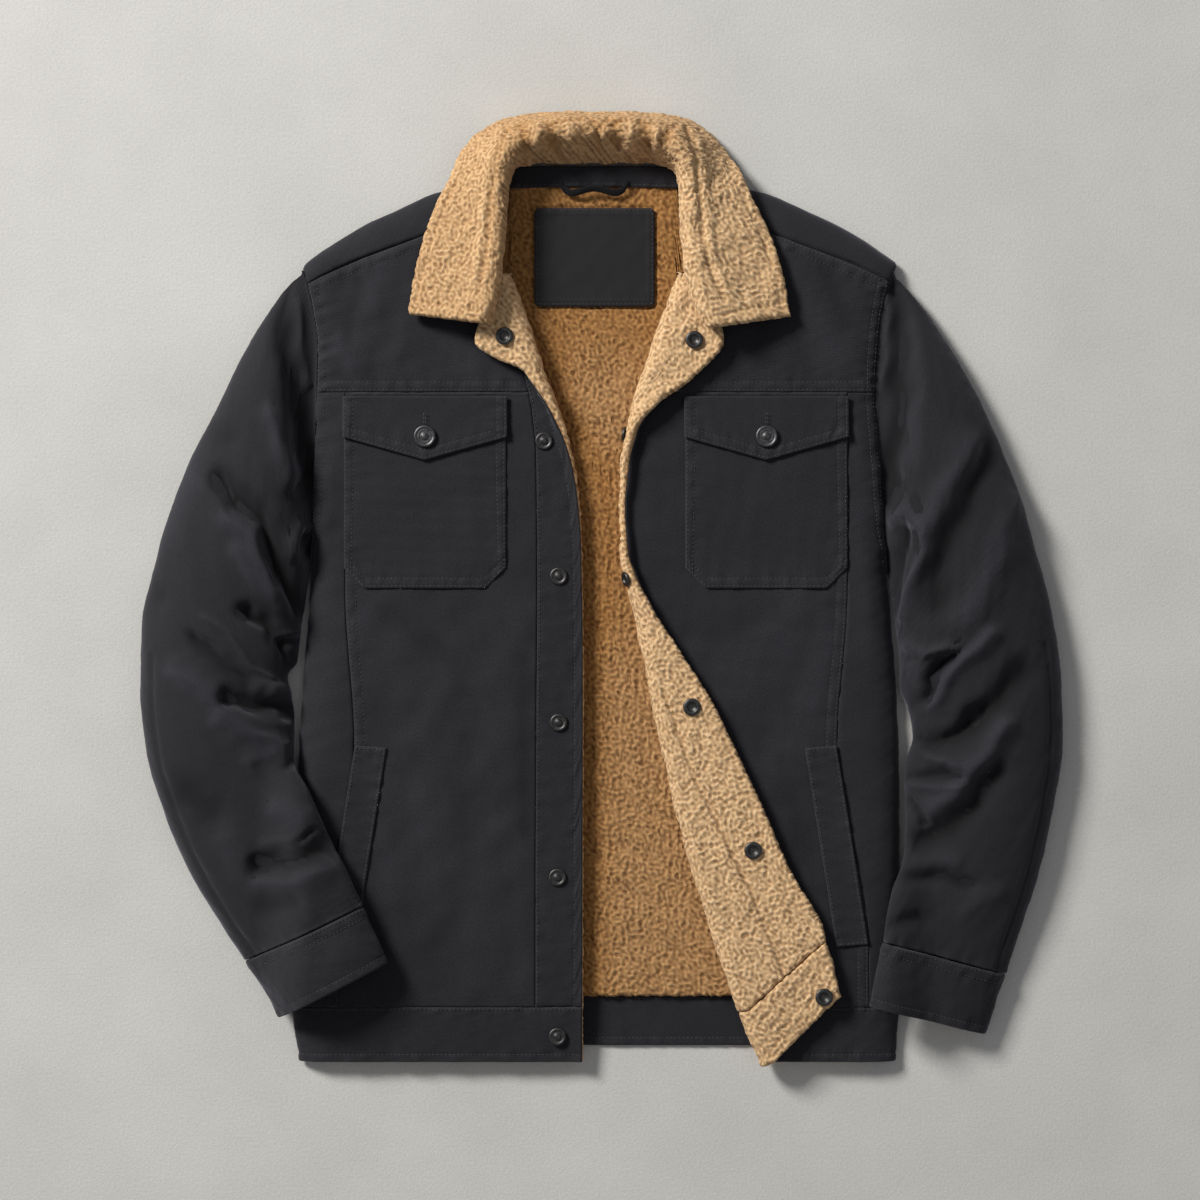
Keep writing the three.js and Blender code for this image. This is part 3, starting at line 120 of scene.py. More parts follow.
class Curve:
    """A smooth function through a table's rows, with no overshoot between them."""

    def __init__(self, at: Sequence[float], value: Sequence[float]) -> None:
        """Sort the rows and find their tangents.

        Args:
            at: where each row stands.
            value: the row's value there.
        """
        order = np.argsort(at)
        self.at = np.asarray(at, float)[order]
        self.value = np.asarray(value, float)[order]
        slope = np.diff(self.value) / np.diff(self.at)
        before = np.concatenate([slope[:1], slope])
        after = np.concatenate([slope, slope[-1:]])
        same_way = before * after > 0
        total = np.where(same_way, before + after, 1.0)
        self.tangent = np.where(same_way, 2 * before * after / total, 0.0)

    def __call__(self, x: Array) -> Array:
        """The value at a place, held beyond the ends."""
        x = np.clip(x, self.at[0], self.at[-1])
        i = np.clip(np.searchsorted(self.at, x, side="right") - 1, 0, len(self.at) - 2)
        gap = self.at[i + 1] - self.at[i]
        t = (x - self.at[i]) / gap
        rise = self.value[i + 1] - self.value[i]
        bend = self.tangent[i] * t * (1 - t) ** 2 - self.tangent[i + 1] * t * t * (1 - t)
        return self.value[i] + rise * t * t * (3 - 2 * t) + gap * bend


class Profile:
    """A table's columns as smooth functions of its first column."""

    def __init__(self, names: str, rows: Sequence[Sequence[float]]) -> None:
        """Make a curve for each named column.

        Args:
            names: the columns' names, the first being what the rows are sorted by.
            rows: the table.
        """
        data = np.array(rows, float)
        self.rows = data
        self.curves = {key: Curve(data[:, 0], data[:, i]) for i, key in enumerate(names.split())}

    def __call__(self, name: str, x: Array) -> Array:
        """A column's value at a place."""
        return self.curves[name](x)


@dataclass(frozen=True)
class Fold:
    """A soft ridge, or a trough where rise is below 0, along a bent line in plan."""

    line: tuple[tuple[float, float], ...]
    left: float
    right: float
    rise: float

    def height(self, x: Array, y: Array) -> Array:
        """The fold's height at places in plan, by the width of the side of the line that they lie on."""
        nearest = np.full(np.broadcast(x, y).shape, 1e6)
        turn = np.zeros(nearest.shape)
        for (x1, y1), (x2, y2) in zip(self.line[:-1], self.line[1:]):
            run_x, run_y = x2 - x1, y2 - y1
            length = math.hypot(run_x, run_y)
            t = np.clip(((x - x1) * run_x + (y - y1) * run_y) / length**2, 0, 1)
            gap_x, gap_y = x - x1 - t * run_x, y - y1 - t * run_y
            gap = np.hypot(gap_x, gap_y)
            side = (run_x * gap_y - run_y * gap_x) / (length * np.maximum(gap, 1e-6))
            turn = np.where(gap < nearest, side, turn)
            nearest = np.minimum(nearest, gap)
        width = 1.2 * mix(self.right, self.left, (1 + turn) / 2)
        return self.rise * np.exp(-((nearest / width) ** 2))


def fold_height(folds: Sequence[Fold], x: Array, y: Array) -> Array:
    """The sum of a set of folds at places in plan."""
    total = np.zeros(np.broadcast(x, y).shape)
    for fold in folds:
        total = total + fold.height(x, y)
    return total


class Waves:
    """A seeded, uneven pattern of one main wavelength, with a mean of 0 and a spread of 1."""

    def __init__(self, seed: int, wavelength: float, count: int = 22, spread: float = 0.1) -> None:
        """Choose the directions, lengths and phases of its waves.

        Args:
            seed: picks the pattern.
            wavelength: its main length, in millimetres.
            count: how many waves are summed.
            spread: how far their lengths differ, as a share.
        """
        pick = np.random.default_rng(seed)
        turn = pick.uniform(0, 2 * math.pi, count)
        k = 2 * math.pi / (wavelength * (1 + spread * pick.standard_normal(count)))
        self.kx = k * np.cos(turn)
        self.ky = k * np.sin(turn)
        self.phase = pick.uniform(0, 2 * math.pi, count)
        self.scale = math.sqrt(2.0 / count)

    def __call__(self, u: Array, v: Array) -> Array:
        """The pattern's value at places on the cloth."""
        total = np.zeros(np.broadcast(u, v).shape)
        for kx, ky, phase in zip(self.kx, self.ky, self.phase):
            total += np.cos(kx * u + ky * v + phase)
        return total * self.scale


@dataclass(frozen=True)
class CurlyPile:
    """The relief of curly fleece: short, wide curls close together, with narrow gaps between them."""

    seed: int = 5
    curl: float = 5.6
    depth: float = 1.1
    clump: float = 11.0
    lump: float = 0.8

    def share(self, u: Array, v: Array, edge: Array) -> Array:
        """How high the curls stand, from 0 to 1.

        Args:
            u: places across the cloth.
            v: places along it.
            edge: 1 at a free edge, where the curls stand out square to it, and 0 away from it.

        Returns:
            The height of each place.
        """
        bend = Waves(self.seed + 5, 13.0, 10, 0.3)
        bent_u = u + 1.5 * bend(u, v)
        bent_v = v + 1.5 * bend(v, u)
        along = Waves(self.seed, self.curl, 24, 0.12)(bent_u, bent_v * 0.6)
        across = Waves(self.seed + 2, self.curl, 24, 0.12)(bent_u * 0.6, bent_v)
        patch = soft(0.5 + 0.9 * Waves(self.seed + 3, 16.0, 12, 0.3)(u, v))
        curls = mix(mix(along, across, patch), across, edge)
        clumps = Waves(self.seed + 1, self.clump, 16, 0.25)(u, v)
        return np.clip(0.64 + 0.33 * np.tanh(1.3 * curls) + 0.10 * clumps, 0.0, 1.0)

    def lumps(self, u: Array, v: Array) -> Array:
        """Slow unevenness of the whole layer, in millimetres."""
        return self.lump * 0.5 * Waves(self.seed + 4, 30.0, 12, 0.4)(u, v)


class Edge(Enum):
    """An edge of a cloth's grid of rows and columns."""

    TOP = "first row"
    BOTTOM = "last row"
    START = "first column"
    END = "last column"


@dataclass(frozen=True)
class Topstitch:
    """Rows of stitches that follow an edge of a cloth."""

    edge: Edge
    rows: tuple[float, ...] = (1.9, 8.3)
    first: float = 0.0
    last: float = 1.0
    pucker: float = 0.34


class Finish(Enum):
    """What a piece is finished in: the record's slot."""

    TWILL = "twill"
    SHERPA = "sherpa"
    TAPE = "neck_tape"
    LABEL = "label_cloth"
    SNAP = "snap_metal"
    BUTTON = "button_metal"


def graded(length: float, coarse: float, fine: float, margins: tuple[float, float], stride: int) -> Array:
    """Shares along a length, closer together near its ends.

    Args:
        length: the length, in millimetres.
        coarse: the spacing away from the ends.
        fine: the spacing inside the margins.
        margins: the width of the fine stretch at each end.
        stride: the number of steps is a multiple of this.

    Returns:
        Shares from 0 to 1.
    """
    at = np.linspace(0, length, 2000)
    near = (at < margins[0]) | (at > length - margins[1])
    density = np.where(near, 1 / fine, 1 / coarse)
    total = np.concatenate([[0], np.cumsum((density[1:] + density[:-1]) / 2 * np.diff(at))])
    count = max(stride, stride * math.ceil(total[-1] / stride))
    return np.interp(np.linspace(0, total[-1], count + 1), total, at) / length


def lengths(face: Array) -> tuple[Array, Array]:
    """How far each point of a grid lies along its row and down its column."""
    across = np.linalg.norm(np.diff(face, axis=1), axis=2)
    down = np.linalg.norm(np.diff(face, axis=0), axis=2)
    u = np.concatenate([np.zeros((len(face), 1)), np.cumsum(across, axis=1)], axis=1)
    v = np.concatenate([np.zeros((1, face.shape[1])), np.cumsum(down, axis=0)], axis=0)
    return u, v


def grid_normals(face: Array, back: Array) -> Array:
    """Unit normals of a grid of points that point away from the cloth's back."""
    normal = np.cross(np.gradient(face, axis=0), np.gradient(face, axis=1))
    normal /= np.maximum(np.linalg.norm(normal, axis=2, keepdims=True), 1e-9)
    if np.sum(normal * (face - back)) < 0:
        normal = -normal
    return normal


def make_object(name: str, points: Array, faces: list[Array], smooth: bool = True) -> bpy.types.Object:
    """A mesh object from points in millimetres and lists of faces.

    Args:
        name: the object's name.
        points: its vertices.
        faces: arrays of faces, each array with one number of corners.
        smooth: whether it is shaded smooth.

    Returns:
        The object, in metres, linked to the scene.
    """
    mesh = bpy.data.meshes.new(name)
    place = (points + np.array([*FOOTPRINT, 0.0])) * MM
    corners = np.concatenate([f.ravel() for f in faces])
    totals = np.concatenate([np.full(len(f), f.shape[1]) for f in faces])
    mesh.vertices.add(len(place))
    mesh.vertices.foreach_set("co", place.astype(np.float32).ravel())
    mesh.loops.add(len(corners))
    mesh.loops.foreach_set("vertex_index", corners.astype(np.int32))
    mesh.polygons.add(len(totals))
    starts = np.concatenate([[0], np.cumsum(totals)[:-1]])
    mesh.polygons.foreach_set("loop_start", starts.astype(np.int32))
    mesh.polygons.foreach_set("loop_total", totals.astype(np.int32))
    mesh.polygons.foreach_set("use_smooth", np.full(len(totals), smooth))
    mesh.update(calc_edges=True)
    piece = bpy.data.objects.new(name, mesh)
    bpy.context.scene.collection.objects.link(piece)
    return piece


def add_values(piece: bpy.types.Object, name: str, values: Array) -> None:
    """Store one number for each vertex, for the materials to read."""
    layer = piece.data.attributes.new(name, "FLOAT", "POINT")
    layer.data.foreach_set("value", values.astype(np.float32).ravel())


def add_uv(piece: bpy.types.Object, uv: Array) -> None:
    """Lay a UV map in metres over a mesh from one pair of millimetres for each vertex."""
    layer = piece.data.uv_layers.new(name="cloth")
    index = np.empty(len(piece.data.loops), np.int32)
    piece.data.loops.foreach_get("vertex_index", index)
    layer.data.foreach_set("uv", (uv[index] * MM).astype(np.float32).ravel())


class Threads:
    """Every stitch of a kind, gathered into one piece."""

    SIDES = 4

    def __init__(self, name: str, length: float = 2.5, pitch: float = 3.5, width: float = 0.62) -> None:
        """Start with no stitches.

        Args:
            name: the piece's name.
            length: of one stitch.
            pitch: from one stitch to the next.
            width: of the thread.
        """
        self.name = name
        self.length = length
        self.pitch = pitch
        self.width = width
        self.runs: list[tuple[Array, Array, Array]] = []

    def sew(self, line: Array, normal: Array) -> None:
        """Add a row of stitches along a line of points with their normals."""
        step = np.linalg.norm(np.diff(line, axis=0), axis=1)
        at = np.concatenate([[0], np.cumsum(step)])
        if at[-1] < 2 * self.pitch:
            return
        where = np.arange(self.pitch / 2, at[-1] - self.length / 2, self.pitch)
        ends = [
            np.stack([np.interp(where + half, at, line[:, k]) for k in range(3)], axis=1)
            for half in (-self.length / 2, self.length / 2)
        ]
        up = np.stack([np.interp(where, at, normal[:, k]) for k in range(3)], axis=1)
        up /= np.maximum(np.linalg.norm(up, axis=1, keepdims=True), 1e-9)
        self.runs.append((ends[0], ends[1], up))

    def build(self) -> bpy.types.Object:
        """Make the piece: one slim spindle for each stitch."""
        start = np.concatenate([run[0] for run in self.runs])
        end = np.concatenate([run[1] for run in self.runs])
        up = np.concatenate([run[2] for run in self.runs])
        along = end - start
        along /= np.maximum(np.linalg.norm(along, axis=1, keepdims=True), 1e-9)
        side = np.cross(along, up)
        middle = (start + end) / 2 + up * self.width * 0.28
        radius = self.width / 2
        turns = np.arange(self.SIDES) * 2 * math.pi / self.SIDES
        rings = [
            (middle + along * shift * self.length)[:, None, :]
            + radius * np.cos(turns)[None, :, None] * up[:, None, :]
            + radius * np.sin(turns)[None, :, None] * side[:, None, :]
            for shift in (-0.27, 0.27)
        ]
        tips = [(start - up * 0.15)[:, None, :], (end - up * 0.15)[:, None, :]]
        points = np.concatenate([tips[0], rings[0], rings[1], tips[1]], axis=1)
        each = points.shape[1]
        n = self.SIDES
        j = np.arange(n)
        k = (j + 1) % n
        caps = np.stack([np.zeros(n, int), 1 + k, 1 + j], axis=1)
        tails = np.stack([np.full(n, each - 1), 1 + n + j, 1 + n + k], axis=1)
        sides = np.stack([1 + j, 1 + k, 1 + n + k, 1 + n + j], axis=1)
        offset = (np.arange(len(points)) * each)[:, None, None]
        triangles = (np.concatenate([caps, tails])[None] + offset).reshape(-1, 3)
        quads = (sides[None] + offset).reshape(-1, 4)
        piece = make_object(self.name, points.reshape(-1, 3), [triangles, quads])
        log.info("%s: %d stitches", self.name, len(points))
        return piece


@dataclass
class Cloth:
    """A closed piece of cloth between a face and a back, drawn on a grid of rows and columns."""

    name: str
    face: Array
    back: Array
    finish: Finish
    nodes: tuple[str, ...]
    rests_on: tuple[str, ...] = ()
    held: str = "laid"
    topstitch: tuple[Topstitch, ...] = ()
    pile: Optional[CurlyPile] = None
    stride: int = 4
    ring: bool = False
    ripple: float = 0.35
    seed: int = 1
    grooves: tuple[tuple[tuple[float, float], ...], ...] = ()
    edge_round: float = 1.2
    bare_edges: tuple[Edge, ...] = ()
    lift: Optional[Array] = None
    # shade: painted shade; 0.5 leaves the colour as it is, lower darkens it and higher lightens it
    shade: Optional[Array] = None

    def __post_init__(self) -> None:
        """Measure the plain cloth before its relief is added, and paint shade and highlight into its colour by its
        folds.
        """
        if self.shade is None:
            self.shade = np.full(self.face.shape[:2], 0.5)
        if self.lift is not None:
            # painted shade in the lift's troughs and painted highlight on its ridges
            self.shade = self.shade + 0.5 * np.tanh(self.lift / 9)
        self.u, self.v = lengths(self.face)
        self.normal = grid_normals(self.face, self.back)
        self.plain = self.face.copy()
        self.worn = np.zeros(self.face.shape[:2])
        self.curl = np.zeros(self.face.shape[:2])

    def distance(self, edge: Edge) -> Array:
        """How far each point lies from an edge, over the cloth."""
        return {
            Edge.TOP: self.v,
            Edge.BOTTOM: self.v[-1:] - self.v,
            Edge.START: self.u,
            Edge.END: self.u[:, -1:] - self.u,
        }[edge]

    def along(self, edge: Edge) -> tuple[Array, Array]:
        """How far each point lies along an edge, and that as a share of the edge."""
        if edge in (Edge.TOP, Edge.BOTTOM):
            return self.u, self.u / np.maximum(self.u[:, -1:], 1e-6)
        return self.v, self.v / np.maximum(self.v[-1:], 1e-6)

    def seam_relief(self) -> Array:
        """The raised band, the sunk rows and the puckers of every topstitched edge."""
        relief = np.zeros(self.u.shape)
        for i, seam in enumerate(self.topstitch):
            d = self.distance(seam.edge)
            run, share = self.along(seam.edge)
            mask = soft((share - seam.first) / 0.02 + 0.5) * soft((seam.last - share) / 0.02 + 0.5)
            band = max(seam.rows, default=2.0) + 1.2
            raised = 0.35 * soft((band - d) / 1.6)
            sunk = sum(0.42 * np.exp(-(((d - row) / 0.95) ** 2)) for row in seam.rows)
            uneven = Waves(self.seed * 31 + i, 11.0, 14, 0.35)(run, d * 0.35)
            pucker = seam.pucker * uneven * np.exp(-np.abs(d - 0.7 * band) / 7.5)
            relief = relief + mask * (raised - sunk + pucker)
            wear = np.exp(-((d / 1.5) ** 2)) + 0.5 * soft((band - d) / 2.0) * np.clip(uneven, 0, 1)
            self.worn = np.maximum(self.worn, mask * np.clip(wear, 0, 1))
        return relief

    def free_edges(self) -> list[Edge]:
        """The edges that are rounded."""
        closed = (Edge.START, Edge.END) if self.ring else ()
        return [edge for edge in Edge if edge not in self.bare_edges and edge not in closed]

    def fringe(self) -> Array:
        """How far the curls at the free edges stand out past them."""
        shift = np.zeros(self.face.shape)
        for edge in self.free_edges():
            axis = 0 if edge in (Edge.TOP, Edge.BOTTOM) else 1
            way = 1 if edge in (Edge.BOTTOM, Edge.END) else -1
            step = np.gradient(self.plain, axis=axis) * way
            step /= np.maximum(np.linalg.norm(step, axis=2, keepdims=True), 1e-9)
            near = np.exp(-((self.distance(edge) / 2.6) ** 2))
            shift = shift + step * (near * self.pile.depth * (self.curl - 0.4))[..., None]
        return shift

    def rim_relief(self) -> Array:
        """How far the face drops towards its free edges, so that they are round."""
        near = np.full(self.u.shape, 1e3)
        for edge in self.free_edges():
            near = np.minimum(near, self.distance(edge))
        share = np.clip(1 - near / self.edge_round, 0, 1)
        thick = np.linalg.norm(self.face - self.back, axis=2)
        drop = np.minimum(self.edge_round, 0.55 * thick)
        return -drop * (1 - np.sqrt(1 - share**2))

    def groove_relief(self) -> Array:
        """Seams that run across the cloth as sunk lines in plan."""
        relief = np.zeros(self.u.shape)
        for line in self.grooves:
            nearest = np.full(self.u.shape, 1e3)
            for (x1, y1), (x2, y2) in zip(line[:-1], line[1:]):
                run = np.array([x2 - x1, y2 - y1])
                t = ((self.plain[..., 0] - x1) * run[0] + (self.plain[..., 1] - y1) * run[1]) / (run @ run)
                t = np.clip(t, 0, 1)
                gap = np.hypot(self.plain[..., 0] - x1 - t * run[0], self.plain[..., 1] - y1 - t * run[1])
                nearest = np.minimum(nearest, gap)
            relief -= 1.5 * np.exp(-((nearest / 1.9) ** 2))
        return relief

    def shape(self) -> None:
        """Work the relief into the face."""
        relief = self.seam_relief() + self.rim_relief()
        if self.lift is not None:
            relief = relief + self.lift
        if self.pile:
            v = self.v[:, -1:] * np.ones_like(self.u)
            near = np.full(self.u.shape, 1e3)
            for edge in self.free_edges():
                near = np.minimum(near, self.distance(edge))
            self.curl = self.pile.share(self.u, v, np.exp(-((near / 6.0) ** 2)))
            grooves = self.groove_relief()
            # In the sunk seams the curls are lower and darker: partly a flatter pile, partly painted shade in the
            # grooves.
            self.curl = self.curl * np.clip(1 + grooves * 0.3, 0, 1)
            relief = relief + self.pile.depth * (self.curl - 0.55) + self.pile.lumps(self.u, v) + grooves
            self.face = self.face + self.fringe()
        else:
            slow = Waves(self.seed * 7 + 3, 46.0, 12, 0.45)(self.u, self.v)
            quick = Waves(self.seed * 7 + 4, 17.0, 12, 0.4)(self.u, self.v)
            relief = relief + self.ripple * (0.75 * slow + 0.3 * quick) + self.groove_relief()
        self.face = self.face + relief[..., None] * self.normal

    def faces(self) -> tuple[Array, list[Array], tuple[Array, Array]]:
        """The closed mesh: a fine face, a coarser back and a rim between them.

        Returns:
            Its points, its faces, and the rows and columns that the back keeps.
        """
        rows, columns = self.u.shape
        keep_i = np.arange(0, rows, self.stride)
        keep_j = np.arange(0, columns, self.stride)
        back = self.back[np.ix_(keep_i, keep_j)]
        points = np.concatenate([self.face.reshape(-1, 3), back.reshape(-1, 3)])
        first = rows * columns
        wide = len(keep_j)

        def dense(i: Array, j: Array) -> Array:
            """Numbers of the face's points."""
            return i * columns + j % columns

        def coarse(i: Array, j: Array) -> Array:
            """Numbers of the back's points."""
            return first + i * wide + j % wide

        spans = columns if self.ring else columns - 1
        back_spans = wide if self.ring else wide - 1
        i, j = np.meshgrid(np.arange(rows - 1), np.arange(spans), indexing="ij")
        i, j = i.ravel(), j.ravel()
        front = np.stack([dense(i, j), dense(i + 1, j), dense(i + 1, j + 1), dense(i, j + 1)], axis=1)
        i, j = np.meshgrid(np.arange(len(keep_i) - 1), np.arange(back_spans), indexing="ij")
        i, j = i.ravel(), j.ravel()
        rear = np.stack([coarse(i, j), coarse(i, j + 1), coarse(i + 1, j + 1), coarse(i + 1, j)], axis=1)
        step = np.arange(self.stride + 1)
        rims = []
        j = np.arange(back_spans)
        up = j[:, None] * self.stride + step[None, :]
        low = np.zeros_like(j)
        rims.append(np.concatenate([dense(low[:, None], up), coarse(low, j + 1)[:, None], coarse(low, j)[:, None]], axis=1))
        last, last_back = rows - 1, len(keep_i) - 1
        rims.append(np.concatenate([
            dense(np.full_like(up, last), up[:, ::-1]),
            coarse(np.full_like(j, last_back), j)[:, None],
            coarse(np.full_like(j, last_back), j + 1)[:, None],
        ], axis=1))
        if not self.ring:
            i = np.arange(len(keep_i) - 1)
            down = i[:, None] * self.stride + step[None, :]
            zero = np.zeros_like(i)
            rims.append(np.concatenate([
                dense(down[:, ::-1], np.zeros_like(down)),
                coarse(i, zero)[:, None],
                coarse(i + 1, zero)[:, None],
            ], axis=1))
            rims.append(np.concatenate([
                dense(down, np.full_like(down, columns - 1)),
                coarse(i + 1, np.full_like(i, wide - 1))[:, None],
                coarse(i, np.full_like(i, wide - 1))[:, None],
            ], axis=1))
        made = [front, rear, *rims]
        turn = np.cross(np.gradient(self.plain, axis=0), np.gradient(self.plain, axis=1))
        if np.sum(turn * self.normal) < 0:
            made = [f[:, ::-1] for f in made]
        return points, made, (keep_i, keep_j)

    def sew(self, threads: Threads) -> None:
        """Lay the stitches of every topstitched edge."""
        for seam in self.topstitch:
            d = self.distance(seam.edge)
            turned = seam.edge in (Edge.TOP, Edge.BOTTOM)
            lines = (d.T, self.face.transpose(1, 0, 2), self.normal.transpose(1, 0, 2)) if turned else (
                d, self.face, self.normal)
            _, share = self.along(seam.edge)
            share = share[0] if turned else share[:, 0]
            keep = (share >= seam.first) & (share <= seam.last)
            for row in seam.rows:
                spots, ups = [], []
                for gap, line, normal, kept in zip(*lines, keep):
                    if not kept or gap.max() < row:
                        continue
                    order = np.argsort(gap)
                    spots.append([np.interp(row, gap[order], line[order, k]) for k in range(3)])
                    ups.append([np.interp(row, gap[order], normal[order, k]) for k in range(3)])
                if len(spots) > 3:
                    threads.sew(np.array(spots), np.array(ups))

    def cut(self) -> tuple[tuple[float, float], float]:
        """The flat cut's width and length, and its area, in metres."""
        a = self.plain[1:, :-1] - self.plain[:-1, :-1]
        b = self.plain[:-1, 1:] - self.plain[:-1, :-1]
        area = float(np.linalg.norm(np.cross(a, b), axis=2).sum()) * MM * MM
        across = self.u[:, -1]
        if self.ring:
            across = across + np.linalg.norm(self.plain[:, -1] - self.plain[:, 0], axis=1)
            area *= float(across.mean() / self.u[:, -1].mean())
        width = float(across.max()) * MM
        length = float(self.v[-1].max()) * MM
        return (width, length), min(area, width * length)

    def build(self, materials: dict[Finish, bpy.types.Material], threads: Optional[Threads] = None) -> bpy.types.Object:
        """Args:
            materials: the material of each finish.
            threads: where its stitches go.

        Returns:
            The piece.
        """
        size, area = self.cut()
        self.shape()
        points, faces, (keep_i, keep_j) = self.faces()
        piece = make_object(self.name, points, faces)
        kept = np.ix_(keep_i, keep_j)
        uv = np.stack([self.u, self.v], axis=2)
        add_uv(piece, np.concatenate([uv.reshape(-1, 2), uv[kept].reshape(-1, 2)]))
        # The back's points get a low curl and a shade of 0.3, darker than a plain face: painted shade on the hidden
        # back, which darkens the rims towards it.
        quiet = np.full(self.u[kept].size, 0.3)
        add_values(piece, "curl", np.concatenate([self.curl.ravel(), quiet]))
        add_values(piece, "worn", np.concatenate([self.worn.ravel(), quiet * 0]))
        add_values(piece, "shade", np.concatenate([self.shade.ravel(), quiet]))
        piece.data.materials.append(materials[self.finish])
        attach(piece, "root")
        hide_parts(*self.nodes)
        list(self.rests_on)
        if threads:
            self.sew(threads)
        log.info("%s: cut %.0f x %.0f mm, %.4f square metres", self.name, size[0] * 1e3, size[1] * 1e3, area)
        return piece


@dataclass
class BodyForm:
    """The outline of the body and the height of the fronts' outer face."""

    outline: Profile = field(default_factory=lambda: Profile("y right left", [
        (270, -247, 246), (240, -238, 234), (200, -232, 228), (160, -233, 226), (100, -235, 230),
        (20, -238, 236), (-80, -245, 244), (-170, -250, 247), (-340, -254, 247), (-390, -248, 243.5),
    ]))
    crown: Profile = field(default_factory=lambda: Profile("y z", [
        (320, 17.4), (160, 18.2), (0, 19.6), (-200, 19.8), (-310, 18.6), (-345, 17.2), (-390, 13.6),
    ]))
    shoulder: Profile = field(default_factory=lambda: Profile("across fold seam", [
        (80, 335, 314), (131, 327.5, 296), (164, 313, 283.5), (197, 296.5, 271), (226, 277, 258.5),
        (247, 260.5, 249),
    ]))
    folds: tuple[Fold, ...] = (
        Fold(((-176, 262), (-205, 190)), 13, 13, 2.0), Fold(((-214, 205), (-196, 168)), 6, 6, 1.4),
        Fold(((-120, 205), (-95, 172)), 12, 12, 1.0), Fold(((-195, -20), (-150, -90)), 20, 20, 1.4),
        Fold(((-70, -25), (-92, -150)), 18, 18, 1.8), Fold(((-150, -120), (-128, -250)), 17, 17, 1.6),
        Fold(((-84, -200), (-100, -320)), 15, 15, 1.5), Fold(((-215, -60), (-222, -120)), 12, 12, 1.0),
        Fold(((150, 275), (196, 190)), 13, 13, 2.0), Fold(((208, 205), (216, 168)), 6, 6, 1.2),
        Fold(((110, 215), (80, 172)), 14, 14, 1.2), Fold(((165, -12), (118, -70)), 20, 20, 2.0),
        Fold(((218, 60), (222, -60)), 12, 12, 1.2), Fold(((185, -70), (150, -150)), 16, 16, 1.3),
    )
    creases: tuple[Fold, ...] = (
        Fold(((-196, 250), (-214, 176)), 6, 6, -0.9), Fold(((-150, 240), (-168, 186)), 8, 8, 0.7),
        Fold(((-206, 150), (-224, 96)), 6, 6, 0.8), Fold(((-213, 80), (-226, 20)), 6, 6, -0.7),
        Fold(((-172, -22), (-120, -60)), 9, 9, -0.8), Fold(((-62, -60), (-60, -200)), 6, 6, -0.9),
        Fold(((-66, -210), (-62, -330)), 7, 7, 0.8), Fold(((-118, -40), (-140, -120)), 9, 9, 0.7),
        Fold(((-180, -150), (-170, -250)), 9, 9, 0.8), Fold(((-112, -260), (-150, -320)), 10, 10, -0.6),
        Fold(((-100, -90), (-112, -190)), 8, 8, -0.6), Fold(((-205, -210), (-226, -320)), 7, 7, 0.7),
        Fold(((186, 262), (214, 186)), 6, 6, -0.9), Fold(((140, 250), (152, 196)), 8, 8, 0.7),
        Fold(((212, 130), (220, 70)), 6, 6, 0.8), Fold(((146, -18), (96, -40)), 8, 8, -0.8),
        Fold(((190, -30), (172, -110)), 8, 8, 0.8), Fold(((206, -180), (224, -300)), 7, 7, 0.7),
        Fold(((152, -150), (168, -220)), 8, 8, -0.6), Fold(((96, 215), (72, 176)), 6, 6, -0.7),
    )

    def side(self, y: Array, out: int) -> Array:
        """The outline's X at heights, on the right (-1) or the left (1)."""
        return self.outline("left" if out > 0 else "right", y)

    def side_low(self, y: Array) -> Array:
        """How low the rounded side comes down."""
        return mix(SIDE_LOW, ARMHOLE_LOW, soft((y - UNDERARM) / 60))

    def crown_at(self, x: Array, y: Array) -> Array:
        """The face's height without folds."""
        below = self.shoulder("seam", np.abs(x)) - y
        return self.crown("z", y) - SHOULDER_DROP * (1 - soft(below / SHOULDER_SOFT))

    def side_angle(self, x: Array, y: Array) -> Array:
        """How far round the rounded side a place lies, up to a right angle."""
        inside = np.minimum(x - self.side(y, -1), self.side(y, 1) - x)
        return np.arccos(1 - np.clip(inside / SIDE_ROUND, 0, 1))

    def top(self, x: Array, y: Array) -> Array:
        """The height of the fronts' outer face."""
        share = np.sin(self.side_angle(x, y))
        high = self.crown_at(x, y) + fold_height(self.folds, x, y) + fold_height(self.creases, x, y)
        return mix(self.side_low(y), high, share)

    def on(self, x: Array, y: Array, depth: float) -> Array:
        """Points of the face, or that deep in behind it."""
        return stack(x, y, self.top(x, y) - depth)

    def rounded(self, out: int, y: Array, angle: Array, depth: float) -> Array:
        """Points round the side at an angle, or that deep in behind them."""
        x = self.side(y, out) - out * SIDE_ROUND * (1 - np.cos(angle))
        across = np.cos(angle) / SIDE_ROUND
        up = np.sin(angle) / (self.crown_at(x, y) - self.side_low(y))
        long = np.hypot(across, up)
        return stack(x - out * depth * across / long, y, self.top(x, y) - depth * up / long)

    def lining_under(self, x: Array, y: Array) -> Array:
        """The height that the fronts' fleece lies under, a little loose behind the shell."""
        return self.crown_at(x, y) - LOOSE

    def rest(self, x: Array, y: Array) -> Array:
        """The height of what a sleeve lies on."""
        left = x >= 0
        inside = np.where(left, self.side(y, 1) - x, x - self.side(y, -1))
        start = np.where(left, -160.0, -112.0)
        return 24 * soft((inside + 30) / 50) * soft((start - y) / 36)


